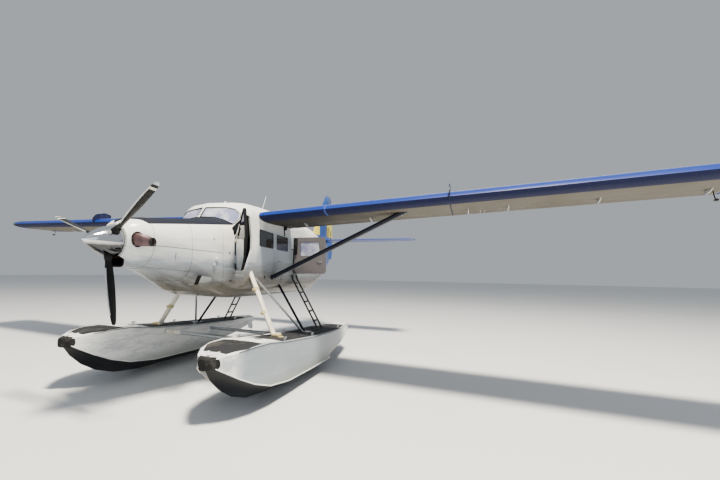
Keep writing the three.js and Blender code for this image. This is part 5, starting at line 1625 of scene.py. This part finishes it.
class FLOATPLANE_OT_studio(bpy.types.Operator):
    """Makes the pale floor, the soft lights and the camera at the photograph's viewing angle"""

    bl_idname = "floatplane.studio"
    bl_label = "Studio"

    AIM = Vector((0, -2.5, 1.8))  # the point that every softbox faces
    # Columns: name, place, size, watts, tint
    LIGHTS = (
        ("key", (7.5, -5.5, 26.5), 4, 24000, "#FFF4E2"),
        ("side", (17, -16, 8), 12, 350, "#E3EDFF"),
        ("fill", (-20, -12, 10), 14, 400, "#DFE9FF"),
        ("back", (6, 22, 16), 14, 300, "#FFFFFF"),
        ("nose", (-3, -22, 5), 8, 150, "#F1F6FF"),
    )

    def execute(self, context):
        bpy.ops.object.select_all(action="DESELECT")
        bpy.ops.mesh.primitive_plane_add(size=sizes().floor, location=(0, 0, -0.0005))
        floor = bpy.context.object
        floor.name = "studio_floor"
        floor.data.materials.append(material("floor_paper"))
        world = bpy.data.worlds.new("studio")
        bpy.context.scene.world = world
        world.use_nodes = True
        world.node_tree.nodes.clear()
        node = partial(add, world.node_tree)
        node("OutputWorld", {"Surface": node("Background", {"Color": "#E2E9F0", "Strength": 0.55})})
        for name, place, size, watts, tint in self.LIGHTS:
            data = bpy.data.lights.new(name + "_softbox", "AREA")
            data.size, data.energy, data.color = size, watts, linear(tint)[:3]
            lamp = bpy.data.objects.new(data.name, data)
            bpy.context.scene.collection.objects.link(lamp)
            lamp.location = place
            lamp.rotation_euler = (self.AIM - Vector(place)).to_track_quat("-Z", "Y").to_euler()
        # the camera that was fitted to the photograph
        yaw, pitch, roll = (math.radians(a) for a in (32.088, 4.25, 0.803))
        forward = Vector((-math.sin(yaw) * math.cos(pitch), math.cos(yaw) * math.cos(pitch), math.sin(pitch)))
        level = Vector((math.cos(yaw), math.sin(yaw), 0))
        upright = level.cross(forward)
        right = level * math.cos(roll) + upright * math.sin(roll)
        up = upright * math.cos(roll) - level * math.sin(roll)
        data = bpy.data.cameras.new("camera")
        data.sensor_width, data.lens, data.clip_end = 36.0, sizes().lens, 400
        data.shift_x = (360 - 208.5) / 720  # the aeroplane fills the left of the frame
        camera = bpy.data.objects.new("camera", data)
        bpy.context.scene.collection.objects.link(camera)
        turned_to = Matrix((right, up, -forward)).transposed().to_4x4()
        camera.matrix_world = Matrix.Translation(at(4.814, -4.657, 2.218)) @ turned_to
        bpy.context.scene.camera = camera
        return {"FINISHED"}


# Panel and registration

OPERATORS = (
    FLOATPLANE_OT_studio,
    FLOATPLANE_OT_fuselage,
    FLOATPLANE_OT_wings,
    FLOATPLANE_OT_tail,
    FLOATPLANE_OT_windows,
    FLOATPLANE_OT_doors,
    FLOATPLANE_OT_propeller,
    FLOATPLANE_OT_exhausts,
    FLOATPLANE_OT_nose_fittings,
    FLOATPLANE_OT_antennas,
    FLOATPLANE_OT_wing_struts,
    FLOATPLANE_OT_float_struts,
    FLOATPLANE_OT_ladders,
    FLOATPLANE_OT_floats,
    FLOATPLANE_OT_bumpers,
    FLOATPLANE_OT_cabin,
    FLOATPLANE_OT_seats,
)


class FLOATPLANE_PT_panel(bpy.types.Panel):
    """Lists the pieces of the floatplane"""

    bl_label = "Floatplane"
    bl_space_type = "VIEW_3D"
    bl_region_type = "UI"
    bl_category = "Floatplane"

    def draw(self, context):
        for operator in OPERATORS:
            self.layout.operator(operator.bl_idname)
        for settings in (colours(), sizes()):
            for name in settings.bl_rna.properties.keys():
                if name not in ("rna_type", "name"):
                    self.layout.prop(settings, name)


CLASSES = (FloatplaneColours, FloatplaneSizes, *OPERATORS, FLOATPLANE_PT_panel)


def register():
    for cls in CLASSES:
        bpy.utils.register_class(cls)
    bpy.types.Scene.floatplane_colours = PointerProperty(type=FloatplaneColours)
    bpy.types.Scene.floatplane_sizes = PointerProperty(type=FloatplaneSizes)


def unregister():
    del bpy.types.Scene.floatplane_sizes
    del bpy.types.Scene.floatplane_colours
    for cls in reversed(CLASSES):
        bpy.utils.unregister_class(cls)


def main():
    register()
    for operator in OPERATORS:
        getattr(bpy.ops.floatplane, operator.bl_idname.split(".")[1])()


if __name__ == "__main__":
    main()
